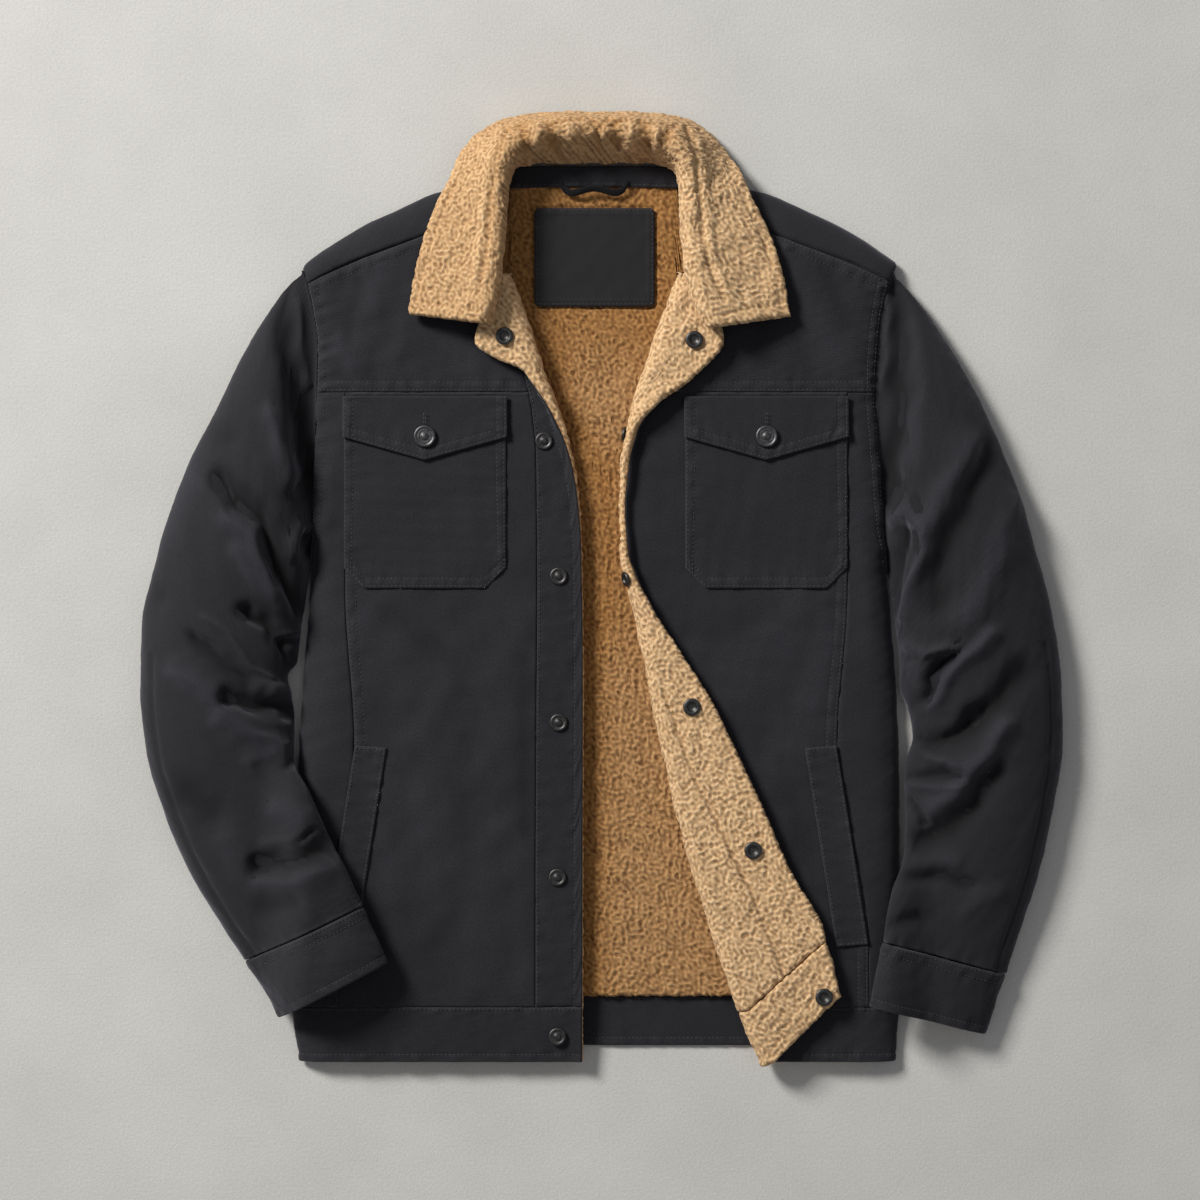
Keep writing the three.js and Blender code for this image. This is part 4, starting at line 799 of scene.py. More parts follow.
@dataclass
class EdgeRoll:
    """A front's rolled edge and the cloth that is turned back beyond it."""

    body: BodyForm
    out: int
    table: Profile

    def frame(self, y: Array) -> dict[str, Array]:
        """Where the roll starts, how far it turns and which way the cloth runs."""
        fold = self.table.curves["fold"]
        slope = (fold(y + 1) - fold(y - 1)) / 2
        size = np.hypot(slope, 1)
        along = (-slope / size, -1 / size)
        turn = np.radians(self.table("turn", y))
        radius = ROLL_LENGTH / turn
        back = self.table("back", y)
        upright = np.minimum(turn, math.pi / 2)
        reach = (radius + STACK) * np.sin(upright) + back * np.cos(upright)
        dot = 2 * along[0] * -self.out
        return {
            "turn": turn, "radius": radius, "back": back, "x": fold(y) + self.out * reach,
            "leg_x": dot * along[0] + self.out, "leg_y": dot * along[1],
            "out_x": self.out * along[1], "out_y": -self.out * along[0],
        }

    def start(self, y: Array) -> Array:
        """The X at which the cloth starts to roll."""
        return self.frame(y)["x"]

    def place(self, y: Array, share: Array, depth: float) -> Array:
        """Points of the rolled cloth.

        Args:
            y: the row's height on the flat cloth.
            share: 0 at the start of the roll, 1 at its end, 2 at the cloth's edge.
            depth: in from the shell's face.

        Returns:
            The points.
        """
        f = self.frame(y)
        angle = f["turn"] * np.minimum(share, 1)
        beyond = f["back"] * np.maximum(share - 1, 0)
        away = (f["radius"] + depth) * np.sin(angle)
        level = np.cos(angle)
        leg_x = np.where(level < 0, f["leg_x"], f["out_x"])
        leg_y = np.where(level < 0, f["leg_y"], f["out_y"])
        x = f["x"] + f["out_x"] * away + leg_x * np.abs(level) * beyond
        y2 = y + f["out_y"] * away + leg_y * np.abs(level) * beyond
        start = self.body.top(f["x"], y)
        follow = np.maximum(0, -level) * np.clip(share - 1, 0, 1) * (self.body.top(x, y2) - start)
        z = start + f["radius"] - (f["radius"] + depth) * level + beyond * np.sin(angle) + follow
        return stack(x, y2, z)

    def shares(self, y: Array, columns: int, depth: float) -> Array:
        """Shares round the roll and back, evenly spaced over the layer at a depth, for each row."""
        f = self.frame(y)
        arc = (f["radius"] + depth) * f["turn"]
        total = arc + f["back"]
        at = np.linspace(0, 1, columns + 1)[None, 1:] * total[:, None]
        rolled = at / arc[:, None]
        beyond = 1 + (at - arc[:, None]) / f["back"][:, None]
        return np.where(at < arc[:, None], rolled, beyond)


RIGHT_EDGE = Profile("y fold turn back", [
    (258, -74, 180, 7.5), (242, -67.5, 180, 24), (226, -61.7, 180, 38), (204, -54, 180, 25),
    (178, -46, 165, 5.5), (147, -34, 105, 3),
    (123, -25, 48, 3), (98, -19, 30, 3), (70, -15.5, 22, 3), (40, -14, 14, 3), (-60, -13, 10, 3),
    (-389, -13.5, 10, 3),
])
LEFT_EDGE = Profile("y fold turn back", [
    (258, 65, 180, 20), (232, 54.8, 180, 48), (212, 46.8, 180, 41), (186, 38, 180, 28), (159, 28.5, 172, 12),
    (129, 21.5, 125, 3), (100, 17, 85, 3), (66, 14.5, 62, 3), (35, 16, 82, 3), (8, 21.5, 130, 3),
    (-16, 27, 172, 6), (-54, 35, 180, 19), (-109, 46, 180, 39), (-172, 60, 180, 54), (-227, 75, 180, 64),
    (-272, 89, 180, 70), (-333, 109, 180, 83), (-360, 119.5, 180, 83), (-390, 132, 180, 78),
])
RIGHT_SEAMS = Profile("y placket side", [
    (258, -91, -209), (238, -83, -209), (210, -73, -209), (178, -63, -209), (147, -56, -209),
    (110, -52.5, -209), (0, -51.5, -209), (-127, -52.5, -201.5), (-293, -53, -225), (-343, -53, -225),
])
LEFT_SEAMS = Profile("y side", [
    (258, 203), (0, 203), (-127, 194.5), (-293, 220.5), (-343, 221),
])
YOKE_NECK = Profile("y right left", [
    (320, -80, 70), (285, -81, 72), (268, -90, 82), (259, -92, 84),
])
FACING_SEAM = ((52, -84), (60, -104), (75, -149), (101, -200), (128, -257), (153, -320))


class Workshop:
    """What every sub-assembly needs: the body's form, the materials and the threads."""

    def __init__(self, body: BodyForm, materials: dict[Finish, bpy.types.Material]) -> None:
        """Keep them, and start the threads of each part of the jacket."""
        self.body = body
        self.materials = materials
        self.threads = {name: Threads(f"{name}_stitches") for name in ("fronts", "sleeves", "pockets", "neck")}

    def make(self, cloth: Cloth, threads: str) -> bpy.types.Object:
        """Build a cloth, with painted shade and highlight from the folds that it lies in, and sew it with one of the
        threads.
        """
        if cloth.finish is Finish.TWILL:
            x, y = cloth.face[..., 0], cloth.face[..., 1]
            lift = fold_height(self.body.folds, x, y) + 1.6 * fold_height(self.body.creases, x, y)
            # painted shade in the body's fold troughs and painted highlight on their crests
            cloth.shade = cloth.shade + 0.18 * np.tanh(lift / 1.6)
        return cloth.build(self.materials, self.threads[threads])


@dataclass
class Front:
    """One front: yoke, panel, side, placket, hem band and the fleece behind them."""

    shop: Workshop
    out: int
    fine: float = 1.0
    coarse: float = 3.0
    pile_step: float = 1.12

    def __post_init__(self) -> None:
        """Find the side's own tables and words."""
        left = self.out > 0
        self.word = "left" if left else "right"
        self.body = self.shop.body
        self.roll = EdgeRoll(self.body, self.out, LEFT_EDGE if left else RIGHT_EDGE)
        self.seams = LEFT_SEAMS if left else RIGHT_SEAMS
        self.seed = 20 if left else 10

    def rows(self, top: float, bottom: float, step: Optional[float] = None) -> Array:
        """Heights of rows from one seam down to another, closer together at the seams."""
        length = top - bottom
        if step:
            return np.linspace(top, bottom, 4 * math.ceil(length / step / 4) + 1)
        return top - length * graded(length, self.coarse, self.fine, (10, 10), 4)

    def turned(self, rows: Array, outer: Array, lying: Array, columns: int, depth: float,
               under: Height, shares: Array) -> Array:
        """Points of a layer that lies flat and then goes round the roll.

        Args:
            rows: heights of the rows.
            outer: where the flat part starts, for each row.
            lying: shares across the flat part.
            columns: how many columns follow round the roll.
            depth: in from the shell's face.
            under: the height that the flat part lies below.
            shares: the columns' shares round the roll, for each row.

        Returns:
            The grid of points.
        """
        y, share = grid(rows, lying)
        start = self.roll.start(rows)[:, None]
        x = mix(outer[:, None], start, share)
        flat = stack(x, y, under(x, y) - depth)
        y2, _ = grid(rows, np.arange(columns))
        return np.concatenate([flat, self.roll.place(y2, shares, depth)], axis=1)

    def panel(self) -> None:
        """The panel between the side seam and the placket, or round the edge on the left."""
        rows = self.rows(YOKE_SEAM - SEAM / 2, HEM_SEAM + SEAM / 2)
        outer = self.seams("side", rows) - self.out * SEAM / 2
        side_rows = Topstitch(Edge.START, (1.9, 8.3))
        if self.out > 0:
            lying = graded(150, self.coarse, self.fine, (11, 0), 4)
            columns = 36
            shares = self.roll.shares(rows, columns, 0)
            face, back = (self.turned(rows, outer, lying, columns, d, self.body.top, shares) for d in (0, SHELL))
        else:
            inner = self.seams("placket", rows) - SEAM / 2
            y, share = grid(rows, graded(155, self.coarse, self.fine, (11, 4), 4))
            x = mix(outer[:, None], inner[:, None], share)
            face, back = (self.body.on(x, y, d) for d in (0, SHELL))
        stitched = (side_rows, Topstitch(Edge.TOP, (), pucker=0.3))
        self.shop.make(Cloth(
            f"front_{self.word}_panel_cloth", face, back, Finish.TWILL, (f"front_{self.word}_panel",),
            (f"front_{self.word}_lining",), "folded" if self.out > 0 else "laid", stitched, seed=self.seed + 1,
        ), "fronts")

    def side(self) -> None:
        """The strip that rolls over the side and is topstitched along the armhole."""
        rows = self.rows(YOKE_SEAM - SEAM / 2, HEM_SEAM + SEAM / 2)
        inner = self.seams("side", rows) + self.out * SEAM / 2
        widest = self.body.side_angle(inner, rows)
        y, share = grid(rows, graded(50, 2.4, self.fine, (11, 3), 4))
        angle = share * 1.0 * widest[:, None]
        curved = [self.body.rounded(self.out, y, angle, d) for d in (0, SHELL)]
        flat_share = soft((share - 0.72) / 0.28)[..., None]
        start_x = self.body.side(rows, self.out) - self.out * SIDE_ROUND * (1 - np.cos(0.85 * widest))
        x = mix(start_x[:, None], inner[:, None], np.clip((share - 0.72) / 0.28, 0, 1))
        laid = [self.body.on(x, y, d) for d in (0, SHELL)]
        face, back = (mix(c, l, flat_share) for c, l in zip(curved, laid))
        top = (YOKE_SEAM - UNDERARM) / (YOKE_SEAM - HEM_SEAM)
        self.shop.make(Cloth(
            f"front_{self.word}_side_cloth", face, back, Finish.TWILL, (f"front_{self.word}_side",),
            (f"front_{self.word}_lining",), "folded",
            (Topstitch(Edge.START, (1.9, 8.3), last=top),), seed=self.seed + 2,
        ), "fronts")

    def yoke(self) -> None:
        """The yoke from the shoulder's seam to the pockets."""
        neck_out = abs(YOKE_NECK(self.word, 320.0))
        tip = abs(self.body.side(np.array(SHOULDER_TIP), self.out))
        shares = graded(160, 2.6, self.fine, (11, 4), 4)
        drops = graded(130, 2.6, self.fine, (11, 11), 4)
        drop, share = grid(drops, shares)
        high = self.body.shoulder("seam", mix(tip, neck_out, share)) - SEAM / 2
        y = mix(high, YOKE_SEAM + SEAM / 2, drop)
        top = self.body.shoulder("seam", np.array(neck_out))
        at = mix(top, YOKE_SEAM, drops)
        strip = self.roll.start(at) + LAPEL_STRIP + SEAM if self.out > 0 else self.seams("placket", at) - SEAM / 2
        neck = np.where(at > LAPEL_TOP, YOKE_NECK(self.word, at), strip)
        armhole = self.body.side(mix(SHOULDER_TIP, YOKE_SEAM, drops), self.out)
        x = mix(armhole[:, None], neck[:, None], share)
        face, back = (self.body.on(x, y, d) for d in (0, SHELL))
        self.shop.make(Cloth(
            f"yoke_{self.word}_cloth", face, back, Finish.TWILL, (f"yoke_{self.word}",),
            (f"front_{self.word}_lining",), "laid",
            (Topstitch(Edge.START, pucker=0.5), Topstitch(Edge.TOP), Topstitch(Edge.BOTTOM)), seed=self.seed + 3,
        ), "fronts")

    def shoulder(self) -> None:
        """The back yoke's forward part, rolled over the shoulder."""
        neck_out = abs(YOKE_NECK(self.word, 320.0))
        tip = abs(self.body.side(np.array(SHOULDER_TIP), self.out))
        share, turn = grid(graded(160, 2.6, 2.6, (0, 0), 4), np.linspace(0, 1, 17))
        across = mix(tip, neck_out, share)
        angle = turn * math.pi / 2
        fold = self.body.shoulder("fold", across)
        width = fold - self.body.shoulder("seam", across) - SEAM / 2
        high = np.maximum(self.body.top(self.out * across, fold - width) - SIDE_LOW, 2)
        up = np.sin(angle) / high
        back = np.cos(angle) / width
        long = np.hypot(up, back)
        layers = [
            self.at_shoulder(share, neck_out, fold - width * (1 - np.cos(angle)) - d * back / long,
                             SIDE_LOW + high * np.sin(angle) - d * up / long)
            for d in (0, SHELL)
        ]
        under = np.array([[0, -0.5, -1.2], [0, -1.4, -2.2], [0, -2.6, -2.4], [0, -4.0, -2.5]])
        layers = [np.concatenate([layer, layer[:, -1:] + under], axis=1) for layer in layers]
        self.shop.make(Cloth(
            f"shoulder_{self.word}_cloth", *layers, Finish.TWILL, (f"shoulder_{self.word}",),
            ("back_panel",), "folded", ripple=0.2, seed=self.seed + 4,
        ), "fronts")

    def at_shoulder(self, share: Array, neck_out: float, y: Array, z: Array) -> Array:
        """Points of the shoulder at shares from the armhole to the neck."""
        return stack(self.out * mix(np.abs(self.body.side(y, self.out)), neck_out, share), y, z)

    def placket(self) -> None:
        """The placket strip: the whole front edge on the right, and above the yoke seam on the left."""
        columns = 24
        if self.out > 0:
            rows = self.rows(LAPEL_TOP, YOKE_SEAM + SEAM / 2, 2.0)
            outer = self.roll.start(rows) + LAPEL_STRIP
            lying = np.linspace(0, 1, 5)
            name = "placket_left_top"
            stitched: tuple[Topstitch, ...] = ()
        else:
            rows = self.rows(LAPEL_TOP, HEM_SEAM + SEAM / 2, 2.4)
            outer = self.seams("placket", rows) + SEAM / 2
            lying = graded(30, 2.0, self.fine, (4, 0), 4)
            name = "placket_right"
            stitched = (Topstitch(Edge.START, (1.9,)), Topstitch(Edge.END, (6.4,)))
        shares = self.roll.shares(rows, columns, 0)
        face, back = (self.turned(rows, outer, lying, columns, d, self.body.top, shares) for d in (0, SHELL))
        self.shop.make(Cloth(
            f"{name}_cloth", face, back, Finish.TWILL, (name,), (f"front_{self.word}_lining",), "folded",
            stitched, seed=self.seed + 5, ripple=0.25,
        ), "fronts")

    def lining(self) -> None:
        """The fleece behind the front, which shows where the edge is turned back."""
        end = HEM_SEAM + SEAM / 2 if self.out > 0 else HEM_EDGE + 1
        rows = self.rows(LAPEL_TOP, end, self.pile_step if self.out > 0 else 1.6)
        outer = self.body.side(rows, self.out) - self.out * LINING_INSET
        lying = np.concatenate([np.linspace(0, 0.86, 5), [0.93, 0.97, 1.0, ]])
        columns = 93 if self.out > 0 else 41
        shares = self.roll.shares(rows, columns, STACK)
        face, back = (
            self.turned(rows, outer, lying, columns, d, self.body.lining_under, shares)
            for d in (STACK, LINING_FACE)
        )
        self.shop.make(Cloth(
            f"front_{self.word}_lining_fleece", face, back, Finish.SHERPA, (f"front_{self.word}_lining",),
            ("back_lining",), "folded", pile=CurlyPile(self.seed + 40), edge_round=3.4,
            grooves=(FACING_SEAM,) if self.out > 0 else (), bare_edges=(Edge.START,),
        ), "fronts")

    def hem(self) -> None:
        """The hem band round the side, along the front and round its rolled edge."""
        rows = self.rows(HEM_SEAM - SEAM / 2, HEM_EDGE)
        columns = 36 if self.out > 0 else 12
        shares = self.roll.shares(rows, columns, 0)
        y, turn = grid(rows, np.linspace(0, 1, 12, endpoint=False))
        inner = self.body.side(rows, self.out) - self.out * SIDE_ROUND
        lying = graded(200, self.coarse, self.coarse, (0, 0), 1)
        short = (len(lying) + 12 + columns - 1) % 4
        lying = np.linspace(0, 1, len(lying) + (4 - short) % 4)
        layers = [
            np.concatenate([
                self.body.rounded(self.out, y, turn * math.pi / 2, d),
                self.turned(rows, inner, lying, columns, d, self.body.top, shares),
            ], axis=1)
            for d in (0, SHELL)
        ]
        self.shop.make(Cloth(
            f"hem_band_{self.word}_cloth", *layers, Finish.TWILL, (f"hem_band_{self.word}",),
            ("hem_band_back",), "folded", (Topstitch(Edge.TOP, (1.9,)), Topstitch(Edge.BOTTOM, (6.4,))),
            seed=self.seed + 6,
        ), "fronts")
        if self.out > 0:
            self.hem_facing()

    def hem_facing(self) -> None:
        """The fleece behind the left hem band."""
        rows = self.rows(HEM_SEAM - SEAM / 2, HEM_EDGE, self.pile_step)
        outer = self.body.side(rows, 1) - LINING_INSET
        columns = 93
        shares = self.roll.shares(rows, columns, STACK)
        lying = np.linspace(0, 1, 8)
        face, back = (
            self.turned(rows, outer, lying, columns, d, self.body.lining_under, shares)
            for d in (STACK, LINING_FACE)
        )
        self.shop.make(Cloth(
            "hem_facing_left_fleece", face, back, Finish.SHERPA, ("hem_facing_left",), ("back_lining",),
            "folded", pile=CurlyPile(77), edge_round=3.4, bare_edges=(Edge.START,),
        ), "fronts")

    def build(self) -> None:
        """Make every piece of this front."""
        self.lining()
        self.panel()
        self.side()
        self.yoke()
        self.shoulder()
        self.placket()
        self.hem()


@dataclass
class Back:
    """The back: its panel on the floor, its fleece and its hem band."""

    shop: Workshop
    neck_across: float = 80.0
    neck_middle: float = -5.0
    neck_half: float = 66.0
    neck_corner: float = 6.0

    def outline(self, x: Array, inset: float) -> Array:
        """The height of a layer's top edge: up to the collar in the neck, and along the shoulders."""
        line = self.shop.body.shoulder("fold", np.maximum(np.abs(x), self.neck_across)) - inset
        return mix(NECK_SEAM - 1, line, soft((np.abs(x - self.neck_middle) - self.neck_half) / self.neck_corner))

    def sheet(self, inset: float, bottom: float, downs: Array, shares: Array) -> tuple[Array, Array]:
        """The plan of a back layer: X and Y of each point."""
        body = self.shop.body
        down, share = grid(downs, shares)
        left = body.side(np.array(SHOULDER_LINE), 1) - inset
        right = body.side(np.array(SHOULDER_LINE), -1) + inset
        y = mix(self.outline(mix(right, left, share), inset + 1), bottom, down)
        return mix(body.side(y, -1) + inset, body.side(y, 1) - inset, share), y

    def panel(self) -> None:
        """The shell, flat on the floor."""
        x, y = self.sheet(0.6, BACK_HEM_SEAM + SEAM / 2, np.linspace(0, 1, 61), np.linspace(0, 1, 49))
        self.shop.make(Cloth(
            "back_panel_cloth", stack(x, y, np.zeros_like(x)), stack(x, y, np.full_like(x, SHELL)),
            Finish.TWILL, ("back_panel",), ("floor",), "laid", ripple=0.0,
        ), "fronts")

    def lining(self) -> None:
        """The fleece, finest where it shows between the fronts."""
        body = self.shop.body
        bottom = BACK_HEM_SEAM + SEAM / 2
        downs = np.linspace(0, 1, 4 * math.ceil((NECK_SEAM - bottom) / 1.34 / 4) + 1)
        hidden = np.linspace(0, 1, 7)
        shown = np.linspace(0, 1, 149)[1:-1]
        _, y = self.sheet(20, bottom, downs, np.array([0.5]))
        y = y[:, 0]
        margin = 16.0
        right_edge = np.where(y > 250, -96.0, RIGHT_EDGE("fold", y) - margin)
        left_edge = np.where(y > 250, 88.0, LEFT_EDGE("fold", y) + margin)
        smooth = np.ones(25) / 25
        right_edge = np.convolve(np.pad(right_edge, 12, mode="edge"), smooth, mode="valid")
        left_edge = np.convolve(np.pad(left_edge, 12, mode="edge"), smooth, mode="valid")
        right_side = body.side(y, -1) + 20
        left_side = body.side(y, 1) - 20
        x = np.concatenate([
            mix(right_side[:, None], right_edge[:, None], hidden[None, :]),
            mix(right_edge[:, None], left_edge[:, None], shown[None, :]),
            mix(left_edge[:, None], left_side[:, None], hidden[None, :]),
        ], axis=1)
        y2 = mix(self.outline(x, 21), bottom, downs[:, None])
        face = stack(x, y2, np.full_like(x, BACK_LINING_TOP))
        back = stack(x, y2, np.full_like(x, BACK_LINING_TOP - PILE))
        x1, x2, y1, y2_label = NeckTrim.label
        # Painted shadow on the fleece: darker all over, darkest under the right front's overhang, in the narrow strip
        # between the fronts and towards the neck, and a little where the label presses the pile down.
        pressed = soft(1 + (x - x1) / 3) * soft(1 + (x2 - x) / 3) * soft(1 + (y2 - y1) / 3) * soft(1 + (y2_label - y2) / 3)
        overhang_shadow = np.exp(-(((x - RIGHT_EDGE("fold", y2)) / 20) ** 2))
        narrow = soft((150 - y2) / 60) * soft((y2 + 90) / 90)
        self.shop.make(Cloth(
            "back_lining_fleece", face, back, Finish.SHERPA, ("back_lining",), ("back_panel",), "laid",
            pile=CurlyPile(3), edge_round=2.5, bare_edges=(Edge.START, Edge.END), lift=-1.6 * pressed,
            shade=0.17 - 0.13 * overhang_shadow - 0.07 * narrow - 0.10 * soft((y2 - 150) / 80),
        ), "fronts")

    def hem(self) -> None:
        """The hem band of the back, folded double."""
        rows = np.linspace(BACK_HEM_SEAM - SEAM / 2, BACK_HEM_EDGE, 37)
        y, share = grid(rows, np.linspace(0, 1, 165))
        body = self.shop.body
        x = mix(body.side(y, -1) + 3, body.side(y, 1) - 3, share)
        self.shop.make(Cloth(
            "hem_band_back_cloth", stack(x, y, np.full_like(x, BAND)), stack(x, y, np.zeros_like(x)),
            Finish.TWILL, ("hem_band_back",), ("floor",), "folded",
            (Topstitch(Edge.TOP, (1.9,)), Topstitch(Edge.BOTTOM, (6.4,))), ripple=0.12, seed=8,
        ), "fronts")

    def build(self) -> None:
        """Make every piece of the back."""
        self.panel()
        self.lining()
        self.hem()


RIGHT_SLEEVE = Profile("t ox oy ix iy rise", [
    (0, -247.4, 262.5, -238.6, 13, 0), (1, -262, 244, -241, 0, 30), (2, -285, 209, -242.5, -12, 40),
    (3, -310, 160, -245, -26, 44), (4, -339, 101, -247, -44, 44), (5, -362.5, 35, -249.5, -60, 43),
    (6, -377, -30, -257, -72, 42), (7, -378.5, -80, -251.5, -104, 42), (8, -373.5, -132, -251, -136, 40),
    (9, -356.5, -190, -236, -168, 38), (10, -332.5, -242, -220, -203, 36),
    (11, -305, -286, -201, -242, 32), (12, -292, -305, -194, -258, 28),
])
LEFT_SLEEVE = Profile("t ox oy ix iy rise", [
    (0, 246, 260.5, 236.4, 13, 0), (1, 265, 233, 239, 0, 30), (2, 292.5, 192, 241, -14, 40),
    (3, 317, 146, 243.5, -32, 44), (4, 339, 95, 246, -54, 44), (5, 357, 38, 247, -80, 43),
    (6, 371, -15, 255, -104, 42), (7, 379.5, -72, 257.5, -122, 42), (8, 381, -125, 250.5, -150, 40),
    (9, 373.5, -178, 251, -184, 38), (10, 362, -230, 249, -216, 36), (11, 345.5, -282, 237, -252, 32),
    (12, 334, -316, 231, -287, 28),
])
RIGHT_CUFF = Profile("t ox oy ix iy rise", [
    (0, -292.4, -306, -193.2, -258.8, 29.5), (1, -275.5, -331, -182, -284, 29),
    (2, -263.5, -351, -172.5, -304, 26.5),
])
LEFT_CUFF = Profile("t ox oy ix iy rise", [
    (0, 334, -317, 230.2, -288, 29.5), (1, 325, -343, 224.5, -316, 29),
    (2, 317.5, -366, 219.5, -339.5, 26.5),
])
RIGHT_SLEEVE_FOLDS = (
    Fold(((-258, 252), (-261, 221), (-252, 191), (-244, 153), (-239, 114), (-241, 84)), 6, 9, -6),
    Fold(((-247, 236), (-247, 205), (-240, 168)), 3, 3, 2.5), Fold(((-268, 140), (-259, 110), (-254, 94)), 7, 7, 4),
    Fold(((-313, 87), (-294, 69), (-277, 56), (-265, 27), (-257, 7), (-250, -16)), 9, 4, -10),
    Fold(((-300, 58), (-284, 44), (-272, 20), (-264, 0), (-258, -10)), 3.5, 9, 4),
    Fold(((-249, 26), (-252, 38), (-246, 53), (-238, 52)), 3, 3, 4), Fold(((-242, 42), (-241, 30)), 4, 4, -7),
    Fold(((-296, 30), (-280, 8), (-269, -2)), 6, 6, 3), Fold(((-340, 76), (-352, 40)), 10, 10, 2.5),
    Fold(((-322, 133), (-306, 124)), 9, 9, -3), Fold(((-366, 10), (-362, -6)), 10, 10, -3.5),
    Fold(((-334, 102), (-326, 88)), 9, 9, 3), Fold(((-287, -20), (-270, -30), (-259, -45), (-256, -60)), 7, 4, -9),
    Fold(((-262, -42), (-246, -36)), 3, 3, 3), Fold(((-258, -47), (-246, -43)), 3, 3, -4),
    Fold(((-322, -22), (-302, -38), (-291, -54), (-283, -64), (-269, -72)), 2.2, 2.2, 1.8),
    Fold(((-330, -40), (-308, -58), (-292, -72), (-277, -81)), 4, 6, -4.5),
    Fold(((-276, -80), (-264, -84), (-256, -87)), 5, 5, 5),
    Fold(((-302, -91), (-285, -95), (-265, -98), (-251, -103)), 8, 4.5, -10),
    Fold(((-306, -102), (-290, -113), (-270, -122), (-251, -128)), 3.5, 10, 4),
    Fold(((-345, -66), (-328, -76), (-312, -90)), 8, 8, 3.5), Fold(((-282, -140), (-268, -136)), 7, 7, 2.5),
    Fold(((-254, -128), (-253, -142)), 4, 4, -5), Fold(((-262, -178), (-243, -186)), 8, 8, 3.5),
    Fold(((-244, -203), (-232, -197)), 2.5, 2.5, -4),
    Fold(((-277, -226), (-262, -222), (-238, -218), (-222, -212)), 9, 6, -8),
    Fold(((-272, -210), (-258, -206), (-244, -202)), 5, 5, 2), Fold(((-276, -240), (-250, -238), (-226, -228)), 5, 9, 3),
    Fold(((-336, -166), (-318, -178)), 12, 12, -3.5), Fold(((-268, -258), (-252, -252)), 9, 9, -3),
    Fold(((-304, -206), (-288, -228)), 10, 10, 2.5),
)
LEFT_SLEEVE_FOLDS = (
    Fold(((242, 250), (246, 215), (245, 182), (244, 143), (240, 104), (236, 75)), 7, 4.5, -5.5),
    Fold(((236, 240), (238, 205), (236, 170)), 3, 3, 2.5), Fold(((259, 214), (262, 182), (261, 143), (257, 104)), 7, 7, 2),
    Fold(((244, 54), (252, 60), (260, 54), (265, 46), (264, 35), (258, 22), (252, -2), (249, -24)), 5, 3, 5),
    Fold(((250, 46), (249, 36)), 4, 4, -7), Fold(((243, 28), (241, 0), (240, -24)), 5, 5, -8),
    Fold(((302, 118), (281, 76), (268, 52)), 9, 9, 4), Fold(((318, 112), (296, 64), (280, 30), (272, -10)), 9, 9, -5),
    Fold(((338, 68), (322, 18), (302, -22)), 11, 11, 4), Fold(((318, -34), (308, -48), (294, -60), (279, -76), (274, -88)), 6, 4, 5),
    Fold(((252, -44), (264, -54), (279, -49), (290, -49)), 3.5, 3, 4.5),
    Fold(((287, -57), (277, -65), (270, -76), (267, -90)), 3.5, 5, -9), Fold(((256, -62), (260, -82), (270, -95)), 5, 4, 3),
    Fold(((304, -104), (290, -118), (263, -126)), 9, 6, -8), Fold(((342, -68), (322, -92), (306, -104)), 10, 8, -6),
    Fold(((330, -110), (314, -134), (298, -151), (290, -166), (268, -180)), 7, 7, 5),
    Fold(((256, -131), (277, -141), (291, -144)), 3, 3, 3.5), Fold(((292, -151), (272, -152), (256, -152)), 4, 4, -4.5),
    Fold(((252, -159), (272, -161), (290, -160)), 4, 4, 3), Fold(((254, -174), (262, -180), (265, -188)), 3, 3, -6),
    Fold(((322, -150), (304, -178), (286, -196), (262, -206)), 9, 9, -6),
    Fold(((246, -234), (272, -235), (302, -238)), 5, 5, -4.5), Fold(((262, -222), (290, -224)), 6, 6, 2),
    Fold(((238, -275), (262, -268)), 5, 5, -3.5), Fold(((322, -250), (300, -262)), 8, 8, 2),
)


